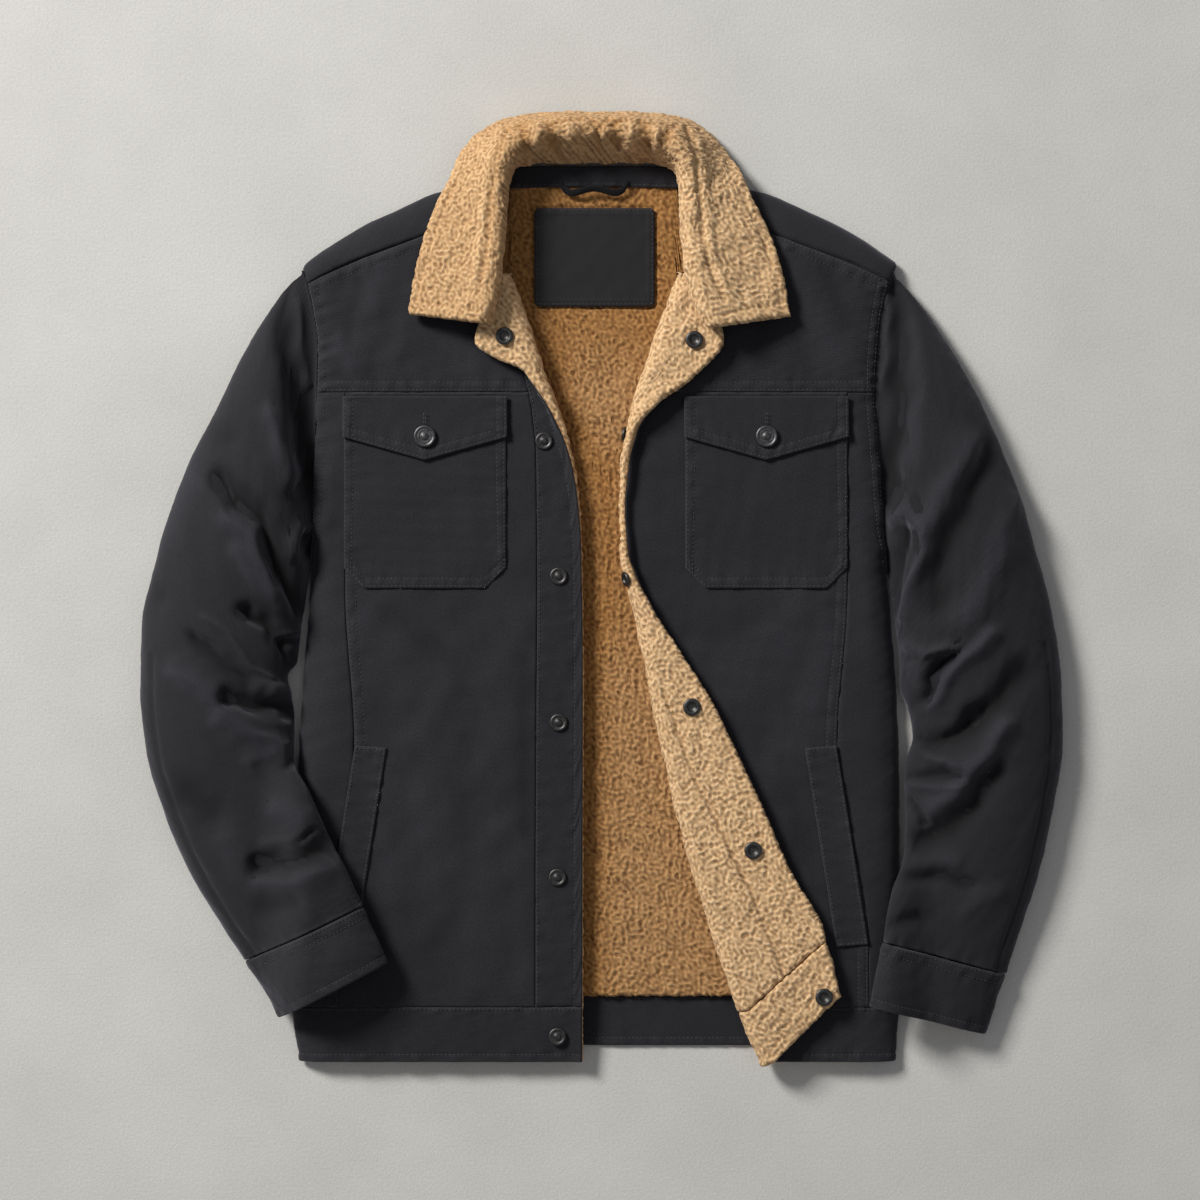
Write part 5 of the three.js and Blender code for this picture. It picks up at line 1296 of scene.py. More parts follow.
@dataclass
class Sleeve:
    """One sleeve with its cuff."""

    shop: Workshop
    out: int
    widest: float = 9.0
    low_turn: float = 32.0
    start: float = 2.6
    inset: float = 0.055
    armhole_ends: float = 0.015
    gap: float = 0.4

    def __post_init__(self) -> None:
        """Find the side's own tables and words."""
        left = self.out > 0
        self.word = "left" if left else "right"
        self.body = self.shop.body
        self.plan = LEFT_SLEEVE if left else RIGHT_SLEEVE
        self.cuff_plan = LEFT_CUFF if left else RIGHT_CUFF
        self.folds = LEFT_SLEEVE_FOLDS if left else RIGHT_SLEEVE_FOLDS

    def section(self, plan: Profile, t: Array, degrees: Array, depth: float) -> Array:
        """Points of a section at angles round it, or that deep in behind them."""
        ox, oy, ix, iy = (plan(name, t) for name in ("ox", "oy", "ix", "iy"))
        half_x = (ix - ox) / 2
        half_y = (iy - oy) / 2
        width = np.hypot(half_x, half_y)
        angle = np.radians(degrees)
        rise = np.maximum(plan("rise", t) - self.widest, 0)
        flat = (self.widest - SIDE_LOW) / math.sin(math.radians(self.low_turn))
        high = np.where(np.sin(angle) > 0, rise, flat)
        nx = np.cos(angle) / width
        nz = np.sin(angle) / np.maximum(high, 4)
        size = np.hypot(nx, nz)
        across = -np.cos(angle) + depth * nx / size / width
        x = (ox + ix) / 2 + half_x * across
        y = (oy + iy) / 2 + half_y * across
        z = self.body.rest(x, y) + self.widest + high * np.sin(angle) - depth * nz / size
        return stack(x, y, z)

    def armhole_share(self, degrees: Array) -> Array:
        """How far down the armhole an angle of the round is sewn, as a share of its length."""
        over = np.clip(degrees / 180, 0, 1)
        wrapped = (degrees - 180 * over) / self.low_turn
        ends = self.armhole_ends
        return mix(ends, 1 - ends, (1 - np.cos(math.pi * over)) / 2) + ends * wrapped

    def top(self) -> None:
        """The upper side of the sleeve, from the armhole to the cuff."""
        rows = np.concatenate([np.linspace(0, 1, 20, endpoint=False), np.linspace(1, 12, 257)[:-1], [12.0]])
        rows = np.interp(np.linspace(0, 1, 4 * 68 + 1), np.linspace(0, 1, len(rows)), rows)
        degrees = np.linspace(-self.low_turn, 180 + self.low_turn, 77)
        t, turn = grid(rows, degrees)
        free = soft(t / 1.1)
        crest = np.maximum(0, np.sin(np.radians(turn))) ** 0.6
        first = self.plan.rows[0]
        seam_y = mix(first[2], first[4], self.armhole_share(turn))
        seam_x = self.body.side(seam_y, self.out) + self.out * self.gap
        layers = []
        for depth in (0, SHELL):
            place = self.section(self.plan, t, turn, depth)
            seam = stack(seam_x, seam_y, self.body.side_low(seam_y) - depth)
            sewn = mix(seam, place, free[..., None])
            tucked = sewn[:1] + np.arange(4, 0, -1)[:, None, None] * np.array([-self.out * 0.8, 0.0, -0.7])
            layers.append(np.concatenate([tucked, sewn]))
        x, y = layers[0][4:, :, 0], layers[0][4:, :, 1]
        bend = Waves(40 + self.out, 44.0, 12, 0.4)
        lift = fold_height(self.folds, x + 1.3 * bend(x, y), y + 1.3 * bend(y, x)) * crest * soft(t / 0.25)
        lift = np.concatenate([np.zeros((4, lift.shape[1])), lift])
        normal = grid_normals(*layers)
        layers = [layer + 1.2 * lift[..., None] * normal for layer in layers]
        # painted shade in the sleeve's fold troughs and painted highlight on its ridges, from the folds' lift
        self.shop.make(Cloth(
            f"sleeve_{self.word}_top_cloth", *layers, Finish.TWILL, (f"sleeve_{self.word}_top",),
            (f"sleeve_{self.word}_under",), "folded",
            (Topstitch(Edge.BOTTOM, (), pucker=0.4),), seed=50 + self.out, ripple=0.22,
            grooves=self.arm_seam(), shade=0.5 + 0.5 * np.tanh(lift / 5.5),
        ), "sleeves")

    def arm_seam(self) -> tuple[tuple[tuple[float, float], ...], ...]:
        """The seam along the back of the arm, as a line in plan."""
        t = np.linspace(6.4, 11.9, 16)
        points = self.section(self.plan, t, np.full_like(t, 36.0), 0)
        return (tuple((float(p[0]), float(p[1])) for p in points),)

    def under(self) -> None:
        """The underside, on the floor and up over the body."""
        rows = np.linspace(0, 12, 113)
        t, share = grid(rows, np.linspace(0, 1, 33))
        s = mix(self.inset, 1 - self.inset, share)
        x = mix(self.plan("ox", t), self.plan("ix", t), s)
        y = mix(self.plan("oy", t), self.plan("iy", t), s)
        first = self.plan.rows[0]
        seam_y = mix(first[2] - 2, first[4], share)
        seam_x = self.body.side(seam_y, self.out) + self.out * self.start
        free = soft(t / 1.1)
        low = stack(mix(seam_x, x, free), mix(seam_y, y, free), self.body.rest(x, y) * free)
        high = low + np.array([0, 0, SHELL])
        self.shop.make(Cloth(
            f"sleeve_{self.word}_under_cloth", low, high, Finish.TWILL, (f"sleeve_{self.word}_under",),
            ("floor", f"front_{self.word}_panel"), "laid", ripple=0.0,
        ), "sleeves")

    def ring(self, depth: float, rows: Array, columns: int) -> Array:
        """A closed ring of points round the cuff at a depth in from its face."""
        over = self.section(self.cuff_plan, *grid(rows, np.linspace(-self.low_turn, 180 + self.low_turn, columns)), depth)
        for end in (0, -1):
            spot = over[:, end]
            spot[:, 2] = self.body.rest(spot[:, 0], spot[:, 1]) + depth + 0.4
        share = np.linspace(0, 1, columns // 2 + 1)[1:-1]
        low = over[:, -1:, :] + (over[:, :1, :] - over[:, -1:, :]) * share[None, :, None]
        low[..., 2] = self.body.rest(low[..., 0], low[..., 1]) + depth
        return np.concatenate([over, low], axis=1)

    def cuff(self) -> None:
        """The cuff and the fleece that shows in its mouth."""
        rows = np.linspace(0, 2, 45)
        columns = 105
        face, back = (self.ring(d, rows, columns) for d in (0, SHELL))
        self.shop.make(Cloth(
            f"cuff_{self.word}_cloth", face, back, Finish.TWILL, (f"cuff_{self.word}",),
            (f"sleeve_{self.word}_under",), "folded",
            (Topstitch(Edge.TOP, (1.9, 8.3)), Topstitch(Edge.BOTTOM, (6.4,))), ring=True, seed=60 + self.out,
        ), "sleeves")
        rows = np.linspace(0.1, 1.94, 37)
        inner, outer = (self.ring(d, rows, columns) for d in (CUFF_LINING_FACE + CUFF_PILE, CUFF_LINING_FACE))
        self.shop.make(Cloth(
            f"cuff_{self.word}_lining_fleece", inner, outer, Finish.SHERPA, (f"cuff_{self.word}_lining",),
            (f"cuff_{self.word}",), "folded", ring=True, edge_round=1.6,
            pile=CurlyPile(90 + self.out, depth=1.0, lump=0.2),
        ), "sleeves")

    def build(self) -> None:
        """Make every piece of this sleeve."""
        self.top()
        self.under()
        self.cuff()


COLLAR = Profile("t sx sy ex ey roll rollZ seamZ edgeZ", [
    (0, -89, 215, -157.5, 225.5, 9, 38, 33.4, 31), (1, -83.5, 241, -154, 252, 9, 38, 33.4, 29),
    (2, -79, 275, -145, 287, 9, 36, 25, 28), (3, -77, 300, -136, 313, 9, 34, 18, 27),
    (4, -75.5, 322, -125, 337, 9.5, 34, 17, 21), (5, -73, 338, -115, 360.5, 11, 34.5, 15, 13),
    (6, -65, 346, -101.5, 376.5, 16, 36, 13, 7.5), (7, -48, 349.2, -73.5, 390.5, 23, 37.5, 11.4, 5),
    (8, -26, 349.2, -37, 394.5, 26, 38, 11.4, 4), (9, -4, 349.2, -4, 394.5, 26, 38, 11.4, 4),
    (10, 18, 349.2, 30, 394.5, 26, 38, 11.4, 4), (11, 39, 349.2, 65, 391, 23, 37.5, 11.4, 5),
    (12, 55, 346, 93.5, 375.5, 16, 36, 13, 7.5), (13, 63, 338, 106.5, 359.5, 11, 34.5, 15, 13),
    (14, 65, 322, 119, 337, 9.5, 34, 17, 21), (15, 66, 300, 130, 312, 9, 34, 18, 27),
    (16, 68, 275, 142, 286, 9, 36, 25, 28), (17, 75, 240, 151.5, 251.5, 9, 38, 33.4, 29),
    (18, 88.5, 212.5, 156.5, 223.5, 9, 38, 33.4, 31),
])


# Painted shade along the collar: darker on the wearer's right, darkest round the back, and nearly plain on the left.
COLLAR_SHADE = Curve([0, 5, 7, 11, 13, 18], [0.36, 0.36, 0.30, 0.33, 0.48, 0.5])
COLLAR_FOLDS = (
    Fold(((-76, 377), (-84, 354), (-89, 317), (-91, 283), (-97, 250)), 1.8, 1.8, -1.7),
    Fold(((-82, 378), (-90, 354), (-95, 317), (-97, 283), (-103, 250)), 2.6, 2.6, 1.2),
    Fold(((71, 377), (78, 354), (81, 317), (84, 283), (91, 259), (101, 235)), 1.8, 1.8, -1.7),
    Fold(((77, 378), (84, 354), (87, 317), (90, 283), (97, 259), (107, 237)), 2.6, 2.6, 1.2),
    Fold(((-150, 236), (-146, 256), (-137, 285), (-128, 311), (-118, 334)), 1.5, 1.5, -1.1),
    Fold(((148, 236), (143, 256), (134, 285), (122, 311), (111, 334)), 1.5, 1.5, -1.1),
    Fold(((-96, 226), (-150, 235)), 1.5, 1.5, -0.9), Fold(((96, 223), (149, 233)), 1.5, 1.5, -0.9),
    Fold(((-76, 376), (-60, 381), (-40, 379), (-14, 382)), 1.6, 1.6, -1.7),
    Fold(((8, 377), (20, 382), (45, 379), (62, 377)), 1.6, 1.6, -1.6),
    Fold(((-9, 384), (-2, 375), (-1, 360)), 1.9, 1.9, -2.2), Fold(((7, 384), (0, 375)), 1.9, 1.9, -1.9),
    Fold(((-63, 375), (-59, 360)), 3.4, 4.6, -2.6), Fold(((-50, 378), (-51, 362)), 3.5, 3.5, 1.8),
    Fold(((-40, 373), (-37, 362)), 4, 5, -2.4), Fold(((-25, 377), (-24, 360)), 4.5, 4, 1.6),
    Fold(((11, 378), (14, 363)), 4.6, 3.2, -2.5), Fold(((26, 379), (24, 361)), 3.5, 3.5, 1.9),
    Fold(((36, 377), (40, 363)), 3.4, 4.8, -2.7), Fold(((47, 377), (45, 364)), 3, 3, 1.8),
    Fold(((56, 372), (53, 364)), 3.5, 4, -3),
)


@dataclass
class Collar:
    """The collar, rolled over all round the neck, fleece outside."""

    shop: Workshop
    roll: float = 10.0
    rows: int = 464
    stand: int = 32
    turn: int = 28
    leaf: int = 56

    def section(self, t: Array, depth: float) -> Array:
        """Points from the neck seam over the roll to the edge, in behind the fleece's face by a depth."""
        get = {name: COLLAR(name, t)[:, None] for name in ("sx", "sy", "ex", "ey", "roll", "rollZ", "seamZ", "edgeZ")}
        run_x = get["ex"] - get["sx"]
        run_y = get["ey"] - get["sy"]
        reach = np.hypot(run_x, run_y)
        centre = (get["roll"], get["rollZ"])

        def tangent(d: Array, z: Array, way: int) -> Array:
            """The angle at which a line from a point touches the roll."""
            far = np.maximum(np.hypot(d - centre[0], z - centre[1]), self.roll * 1.02)
            return np.arctan2(z - centre[1], d - centre[0]) + way * np.arccos(self.roll / far)

        begin = tangent(0 * reach, get["seamZ"], -1) % (2 * math.pi)
        finish = tangent(reach, get["edgeZ"], 1)

        def straight(d: Array, z: Array, angle: Array, share: Array) -> tuple[Array, Array]:
            """Points on the line from an end to where it touches the roll."""
            touch = (centre[0] + self.roll * np.cos(angle), centre[1] + self.roll * np.sin(angle))
            x, y = mix(d, touch[0], share), mix(z, touch[1], share)
            return x - depth * np.cos(angle), y - depth * np.sin(angle)

        up = np.linspace(0, 1, self.stand, endpoint=False)[None, :]
        round_ = np.linspace(0, 1, self.turn, endpoint=False)[None, :]
        down = np.linspace(1, 0, self.leaf + 1)[None, :]
        angle = mix(begin, finish, round_)
        arc = (centre[0] + (self.roll - depth) * np.cos(angle), centre[1] + (self.roll - depth) * np.sin(angle))
        parts = [straight(0 * reach, get["seamZ"], begin, up), arc, straight(reach, get["edgeZ"], finish, down)]
        d = np.concatenate([np.broadcast_to(p[0], (len(t), p[0].shape[1])) for p in parts], axis=1)
        z = np.concatenate([np.broadcast_to(p[1], (len(t), p[1].shape[1])) for p in parts], axis=1)
        x = get["sx"] + run_x / reach * d
        y = get["sy"] + run_y / reach * d
        wave = Waves(11, 60.0, 10, 0.4)(x, y)
        across = np.clip(d / reach, 0, 1)
        return stack(x, y, z + 0.9 * wave * across)

    def build(self) -> None:
        """Make the fleece side and the shell side under it."""
        t = np.linspace(0, 18, self.rows + 1)
        face = self.section(t, 0)
        self.shop.make(Cloth(
            "collar_upper_fleece", face, self.section(t, COLLAR_PILE), Finish.SHERPA,
            ("collar_upper",), ("yoke_right", "yoke_left"), "folded", pile=CurlyPile(33), edge_round=3.6,
            # its folds also give painted shade in their troughs and painted highlight on their ridges
            lift=fold_height(COLLAR_FOLDS, face[..., 0], face[..., 1]),
            shade=np.broadcast_to(COLLAR_SHADE(t)[:, None], face.shape[:2]),
        ), "neck")
        t = np.linspace(0.06, 17.94, self.rows // 4 + 1)
        low = COLLAR_PILE + SEAM
        self.shop.make(Cloth(
            "collar_under_cloth", self.section(t, low + SHELL), self.section(t, low), Finish.TWILL,
            ("collar_under",), ("yoke_right", "yoke_left"), "folded", (Topstitch(Edge.END, (6.4,)),), seed=70,
            ripple=0.15,
        ), "neck")


@dataclass
class PatchPocket:
    """A patch pocket with a pointed flap, a tack button and its buttonhole."""

    shop: Workshop
    word: str
    x1: float
    x2: float
    top: float = 157.5
    bottom: float = 1.0
    corner: float = 17.0
    flap_side: float = 125.0
    flap_point: float = 106.0
    flap_lift: float = 1.4

    def lying(self, x: Array, y: Array, lift: Array) -> list[Array]:
        """The face and back of a cloth that lies on the front."""
        return [stack(x, y, self.shop.body.top(x, y) + SEAM + lift + high) for high in (SHELL, 0.0)]

    def pocket(self) -> None:
        """The pocket bag."""
        width = self.x2 - self.x1
        down, share = grid(graded(156, 2.2, 1.0, (4, 11), 4), graded(width, 2.2, 1.0, (11, 11), 4))
        edge = self.corner / width
        cut = self.corner * np.maximum(0, 1 - np.minimum(share, 1 - share) / edge)
        x = mix(self.x1, self.x2, share)
        y = mix(self.top, self.bottom + cut, down)
        body = self.shop.body
        swell = 0.9 * np.sin(math.pi * share) * np.sin(math.pi * down)
        waves = fold_height((
            Fold(((self.x1 + 20, 96), (self.x1 + 64, 30)), 9, 9, 0.8),
            Fold(((self.x2 - 24, 90), (self.x2 - 40, 24)), 9, 9, 0.7),
            Fold(((self.x1 + 44, 100), (self.x2 - 30, 76)), 8, 8, -0.5),
        ), x, y)
        del body
        self.shop.make(Cloth(
            f"pocket_{self.word}_cloth", *self.lying(x, y, swell * 0.4 + waves * 0.6), Finish.TWILL,
            (f"pocket_{self.word}",), (f"front_{self.word}_panel",), "laid",
            tuple(Topstitch(edge, (1.9, 8.3)) for edge in (Edge.START, Edge.END, Edge.BOTTOM)),
            seed=80 + int(self.x1 > 0), ripple=0.3,
        ), "pockets")

    def flap_drop(self, share: Array) -> Array:
        """The height of the flap's free edge."""
        return mix(self.flap_side, self.flap_point, 1 - np.abs(2 * share - 1))

    def flap(self) -> None:
        """The flap over the pocket's mouth."""
        down, share = grid(graded(45, 1.6, 1.0, (11, 11), 4), graded(134, 2.0, 1.0, (11, 11), 4))
        x = mix(self.x1 - 1, self.x2 + 1, share)
        y = mix(self.top + 1, self.flap_drop(share), down)
        lift = SHELL + SEAM + self.flap_lift * down**2
        self.shop.make(Cloth(
            f"flap_{self.word}_cloth", *self.lying(x, y, lift), Finish.TWILL, (f"flap_{self.word}",),
            (f"pocket_{self.word}",), "laid",
            tuple(Topstitch(edge, (1.9, 8.3)) for edge in (Edge.START, Edge.END, Edge.BOTTOM)),
            seed=84 + int(self.x1 > 0), ripple=0.2,
        ), "pockets")

    def buttonhole(self) -> None:
        """The bar-tacked slit above the button, sewn in thread."""
        x = (self.x1 + self.x2) / 2 + np.array([-0.8, 0.8])
        threads = self.shop.threads["pockets"]
        for spot in x:
            y = np.linspace(131.5, 145.5, 24)
            line_x = np.full_like(y, spot)
            high = self.shop.body.top(line_x, y) + 2 * (SEAM + SHELL) + SHELL + 0.5
            threads.sew(stack(line_x, y, high), np.tile([0.0, 0.0, 1.0], (24, 1)))

    def build(self) -> None:
        """Make the pocket and its flap."""
        self.pocket()
        self.flap()
        self.buttonhole()


@dataclass
class WeltPocket:
    """A slanting pocket with a stitched welt."""

    shop: Workshop
    word: str
    x: float
    lean: float
    width: float
    y: float = -128.0
    length: float = 163.0
    lift: float = 1.2

    def build(self) -> None:
        """Make the welt."""
        down, share = grid(graded(self.length, 2.2, 1.0, (8, 8), 4), graded(26, 1.3, 1.0, (26, 0), 4))
        x = self.x + self.lean * down + self.width * share
        y = self.y - self.length * down - 2 * share
        lift = 0.3 + self.lift * (1 - share) ** 2 * np.sin(math.pi * np.clip(down * 1.02, 0, 1))
        top = self.shop.body.top(x, y) + SEAM
        self.shop.make(Cloth(
            f"welt_{self.word}_cloth", stack(x, y, top + lift + SHELL), stack(x, y, top + lift), Finish.TWILL,
            (f"welt_{self.word}",), (f"front_{self.word}_panel",), "laid",
            (Topstitch(Edge.START, (1.9,)), Topstitch(Edge.END, (1.9,)), Topstitch(Edge.TOP, (1.9,)),
             Topstitch(Edge.BOTTOM, (1.9,))), seed=88, ripple=0.15,
        ), "pockets")


@dataclass
class NeckTrim:
    """What lies inside the neck: the facing tape, the hanging loop and a plain label."""

    shop: Workshop
    label: tuple[float, float, float, float] = (-54.0, 45.0, 233.0, 314.0)
    label_thick: float = 1.4
    corner: float = 4.0

    def facing(self) -> None:
        """The tape along the neck seam."""
        down, share = grid(np.linspace(0, 1, 17), np.linspace(0, 1, 97))
        x = mix(-78.0, 68.0, share)
        y = mix(NECK_SEAM - 1.4, 330 + 1.5 * np.sin(math.pi * share), down)
        z = BACK_LINING_TOP + SEAM + 0.5 * np.sin(share * 19) ** 2
        self.shop.make(Cloth(
            "neck_facing_tape", stack(x, y, z + SHELL + 0.3), stack(x, y, z), Finish.TAPE, ("neck_facing",),
            ("back_lining",), "laid", (Topstitch(Edge.BOTTOM, (2.2,)),), seed=91, ripple=0.25,
        ), "neck")

    def patch(self) -> None:
        """The label, left plain, with a raised border."""
        x1, x2, y1, y2 = self.label
        down, share = grid(np.linspace(0, 1, 61), np.linspace(0, 1, 73))
        x = mix(x1, x2, share)
        y = mix(y2, y1, down)
        for corner_x, way_x in ((x1, 1), (x2, -1)):
            for corner_y, way_y in ((y1, 1), (y2, -1)):
                dx = self.corner - (x - corner_x) * way_x
                dy = self.corner - (y - corner_y) * way_y
                far = np.hypot(dx, dy)
                inside = (dx > 0) & (dy > 0) & (far > 0)
                biggest = np.maximum(dx, dy)
                pull = np.where(inside, biggest / np.maximum(far, 1e-6), 1.0)
                x = np.where(inside, corner_x + way_x * (self.corner - dx * pull), x)
                y = np.where(inside, corner_y + way_y * (self.corner - dy * pull), y)
        near = np.minimum(np.minimum(x - x1, x2 - x), np.minimum(y - y1, y2 - y))
        border = 0.35 * np.exp(-(((near - 4.5) / 1.1) ** 2))
        warp = 0.05 * Waves(17, 55.0, 8, 0.3)(x, y)
        z = BACK_LINING_TOP + SEAM + 0.6 + warp
        self.shop.make(Cloth(
            "label_patch", stack(x, y, z + self.label_thick + border), stack(x, y, z - 0.6), Finish.LABEL,
            ("label",), ("back_lining",), "laid",
            tuple(Topstitch(edge, (2.0,), pucker=0.08) for edge in Edge), seed=92, ripple=0.06, edge_round=0.8,
        ), "neck")

    def loop(self) -> None:
        """The hanging loop, a flat tape that stands up in the middle."""
        t = np.linspace(0, 1, 49)
        arch = np.sin(math.pi * t)
        base = BACK_LINING_TOP + 2 * SEAM + SHELL + 0.6
        turn = np.linspace(0, 2 * math.pi, 16, endpoint=False)
        tilt = 0.5 * arch
        across, up = 2.9 * np.cos(turn), 1.1 * np.sin(turn)
        line = Curve([0, 0.07, 0.18, 0.5, 0.82, 0.93, 1], [334, 328.5, 326, 329.5, 326, 328.5, 334])(t)
        y = line[:, None] + across * np.cos(tilt)[:, None] - up * np.sin(tilt)[:, None]
        z = base + 1.2 + 3.4 * arch[:, None] + across * np.sin(tilt)[:, None] + up * np.cos(tilt)[:, None]
        x = np.broadcast_to(mix(-33.0, 23.0, t)[:, None], y.shape)
        count = len(turn)
        i, j = (a.ravel() for a in np.meshgrid(np.arange(len(t) - 1), np.arange(count), indexing="ij"))
        k = (j + 1) % count
        sides = np.stack([i * count + j, (i + 1) * count + j, (i + 1) * count + k, i * count + k], axis=1)
        last = (len(t) - 1) * count
        ends = np.stack([np.arange(count)[::-1] * 1, last + np.arange(count)])
        ends[0] = np.arange(count)
        ends[1] = (last + np.arange(count))[::-1]
        piece = make_object("hanging_loop_tape", stack(x, y, z).reshape(-1, 3), [sides[:, ::-1], ends[:, ::-1]])
        add_uv(piece, np.stack([np.tile(np.arange(count) * 0.8, len(t)), np.repeat(t * 60, count)], axis=1))
        piece.data.materials.append(self.shop.materials[Finish.TAPE])
        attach(piece, "root")
        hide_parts("hanging_loop")

    def build(self) -> None:
        """Make every piece inside the neck."""
        self.facing()
        self.patch()
        self.loop()


class Fastener(Enum):
    """The turned metal pieces: each profile runs from the axis out and back to it."""

    STUD = ((0, 0), (7.0, 0), (7.25, 0.3), (7.2, 0.9), (6.7, 1.5), (6.0, 1.75), (5.2, 1.5), (4.6, 1.05),
            (3.4, 0.95), (2.9, 1.1), (2.75, 1.9), (2.5, 2.5), (1.9, 2.85), (0, 2.95))
    SOCKET = ((0, 0), (7.0, 0), (7.25, 0.3), (7.2, 1.2), (6.8, 1.8), (6.0, 2.1), (4.6, 2.1), (3.9, 1.8),
              (3.5, 1.1), (3.3, 0.7), (0, 0.65))
    TACK = ((0, 0), (8.8, 0), (9.05, 0.4), (9.0, 1.7), (8.5, 2.4), (7.7, 2.65), (7.0, 2.3), (6.5, 1.95),
            (5.6, 1.9), (5.2, 2.15), (4.7, 1.95), (3.5, 1.9), (2.9, 2.1), (2.5, 2.8), (1.8, 3.15), (0, 3.2))


@dataclass
class Fasteners:
    """The press studs down the fronts and the tack buttons on the flaps."""

    shop: Workshop
    sides: int = 40
    right_count: int = 6
    left_count: int = 6

    def turned(self, node: str, kind: Fastener, base: Vector, axis: Vector, slot: Finish, scale: float = 1.0) -> None:
        """Make one piece where its solid is.

        Args:
            node: the solid that it replaces.
            kind: its profile.
            base: the middle of its underside, in metres.
            axis: which way it faces.
            slot: its finish.
            scale: its width against the profile's.
        """
        profile = np.array(kind.value, float)
        radius, height = profile[1:-1, 0] * scale, profile[1:-1, 1]
        turn = np.linspace(0, 2 * math.pi, self.sides, endpoint=False)
        ring = np.stack([
            radius[:, None] * np.cos(turn), radius[:, None] * np.sin(turn),
            np.broadcast_to(height[:, None], (len(radius), self.sides)),
        ], axis=2)
        points = np.concatenate([ring.reshape(-1, 3), [[0, 0, profile[0, 1]], [0, 0, profile[-1, 1]]]])
        spin = Vector((0, 0, 1)).rotation_difference(axis.normalized()).to_matrix()
        points = points @ np.array(spin).T + np.array(base) / MM - np.array([*FOOTPRINT, 0.0])
        i, j = (a.ravel() for a in np.meshgrid(np.arange(len(radius) - 1), np.arange(self.sides), indexing="ij"))
        k = (j + 1) % self.sides
        n = self.sides
        sides = np.stack([i * n + j, i * n + k, (i + 1) * n + k, (i + 1) * n + j], axis=1)
        j = np.arange(n)
        k = (j + 1) % n
        low = np.stack([np.full(n, len(points) - 2), k, j], axis=1)
        last = (len(radius) - 1) * n
        high = np.stack([np.full(n, len(points) - 1), last + j, last + k], axis=1)
        piece = make_object(f"{node}_metal", points, [sides, np.concatenate([low, high])])
        piece.data.materials.append(self.shop.materials[slot])
        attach(piece, "root")
        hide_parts(node)

    def standing(self, node: str, kind: Fastener, slot: Finish) -> None:
        """Make one that faces straight up, where its solid's box is."""
        low, high = (Vector(corner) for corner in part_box(node))
        middle = (low + high) / 2
        self.turned(node, kind, Vector((middle.x, middle.y, low.z)), Vector((0, 0, 1)), slot)

    def rolled(self, node: str, share: float, y: float) -> None:
        """Make a socket on the left front's rolled edge, facing as the fleece does there."""
        roll = EdgeRoll(self.shop.body, 1, LEFT_EDGE)
        near, far = (Vector(roll.place(np.array(y), np.array(share), d)) for d in (STACK, STACK + 1))
        axis = (far - near).normalized()
        base = (near + axis * 0.4 + Vector((*FOOTPRINT, 0))) * MM
        self.turned(node, Fastener.SOCKET, base, axis, Finish.SNAP, 0.86)

    def build(self) -> None:
        """Make them all."""
        self.standing("snap_right_1", Fastener.SOCKET, Finish.SNAP)
        for i in range(2, self.right_count + 1):
            self.standing(f"snap_right_{i}", Fastener.STUD, Finish.SNAP)
        for i in (1, 4, 5, 6):
            self.standing(f"snap_left_{i}", Fastener.SOCKET, Finish.SNAP)
        self.rolled("snap_left_2", 0.66, 125.0)
        self.rolled("snap_left_3", 0.9, 11.0)
        for word in ("right", "left"):
            self.standing(f"flap_button_{word}", Fastener.TACK, Finish.BUTTON)
        log.info("press studs and buttons: %d", self.right_count + self.left_count + 2)


class Nodes:
    """A small helper that adds and joins shader nodes in one tree."""

    def __init__(self, tree: bpy.types.NodeTree) -> None:
        """Keep the tree."""
        self.tree = tree

    def add(self, kind: str, settings: Optional[dict] = None, **inputs: object) -> bpy.types.Node:
        """Add a node, set it up and fill or join its inputs.

        Args:
            kind: the node's type.
            settings: its own properties.
            **inputs: values or sockets by input name, with _ for a space.

        Returns:
            The node.
        """
        node = self.tree.nodes.new(kind)
        for key, value in (settings or {}).items():
            setattr(node, key, value)
        for key, value in inputs.items():
            socket = node.inputs[key.replace("_", " ")]
            if isinstance(value, bpy.types.NodeSocket):
                self.tree.links.new(value, socket)
            else:
                socket.default_value = value
        return node

    def math(self, operation: str, a: object, b: object = 0.0, clamp: bool = False) -> bpy.types.NodeSocket:
        """The result of a maths node."""
        node = self.tree.nodes.new("ShaderNodeMath")
        node.operation = operation
        node.use_clamp = clamp
        for socket, value in zip(node.inputs, (a, b)):
            if isinstance(value, bpy.types.NodeSocket):
                self.tree.links.new(value, socket)
            else:
                socket.default_value = value
        return node.outputs[0]

    def scaled(self, colour: bpy.types.NodeSocket, factor: bpy.types.NodeSocket) -> bpy.types.NodeSocket:
        """A colour times a number."""
        node = self.tree.nodes.new("ShaderNodeMix")
        node.data_type = "RGBA"
        node.blend_type = "MULTIPLY"
        node.inputs[0].default_value = 1.0
        self.tree.links.new(colour, node.inputs[6])
        self.tree.links.new(factor, node.inputs[7])
        return node.outputs[2]

    def blend(self, share: object, a: object, b: object) -> bpy.types.NodeSocket:
        """A colour between two others."""
        node = self.tree.nodes.new("ShaderNodeMix")
        node.data_type = "RGBA"
        for socket, value in zip((node.inputs[0], node.inputs[6], node.inputs[7]), (share, a, b)):
            if isinstance(value, bpy.types.NodeSocket):
                self.tree.links.new(value, socket)
            else:
                socket.default_value = value
        return node.outputs[2]


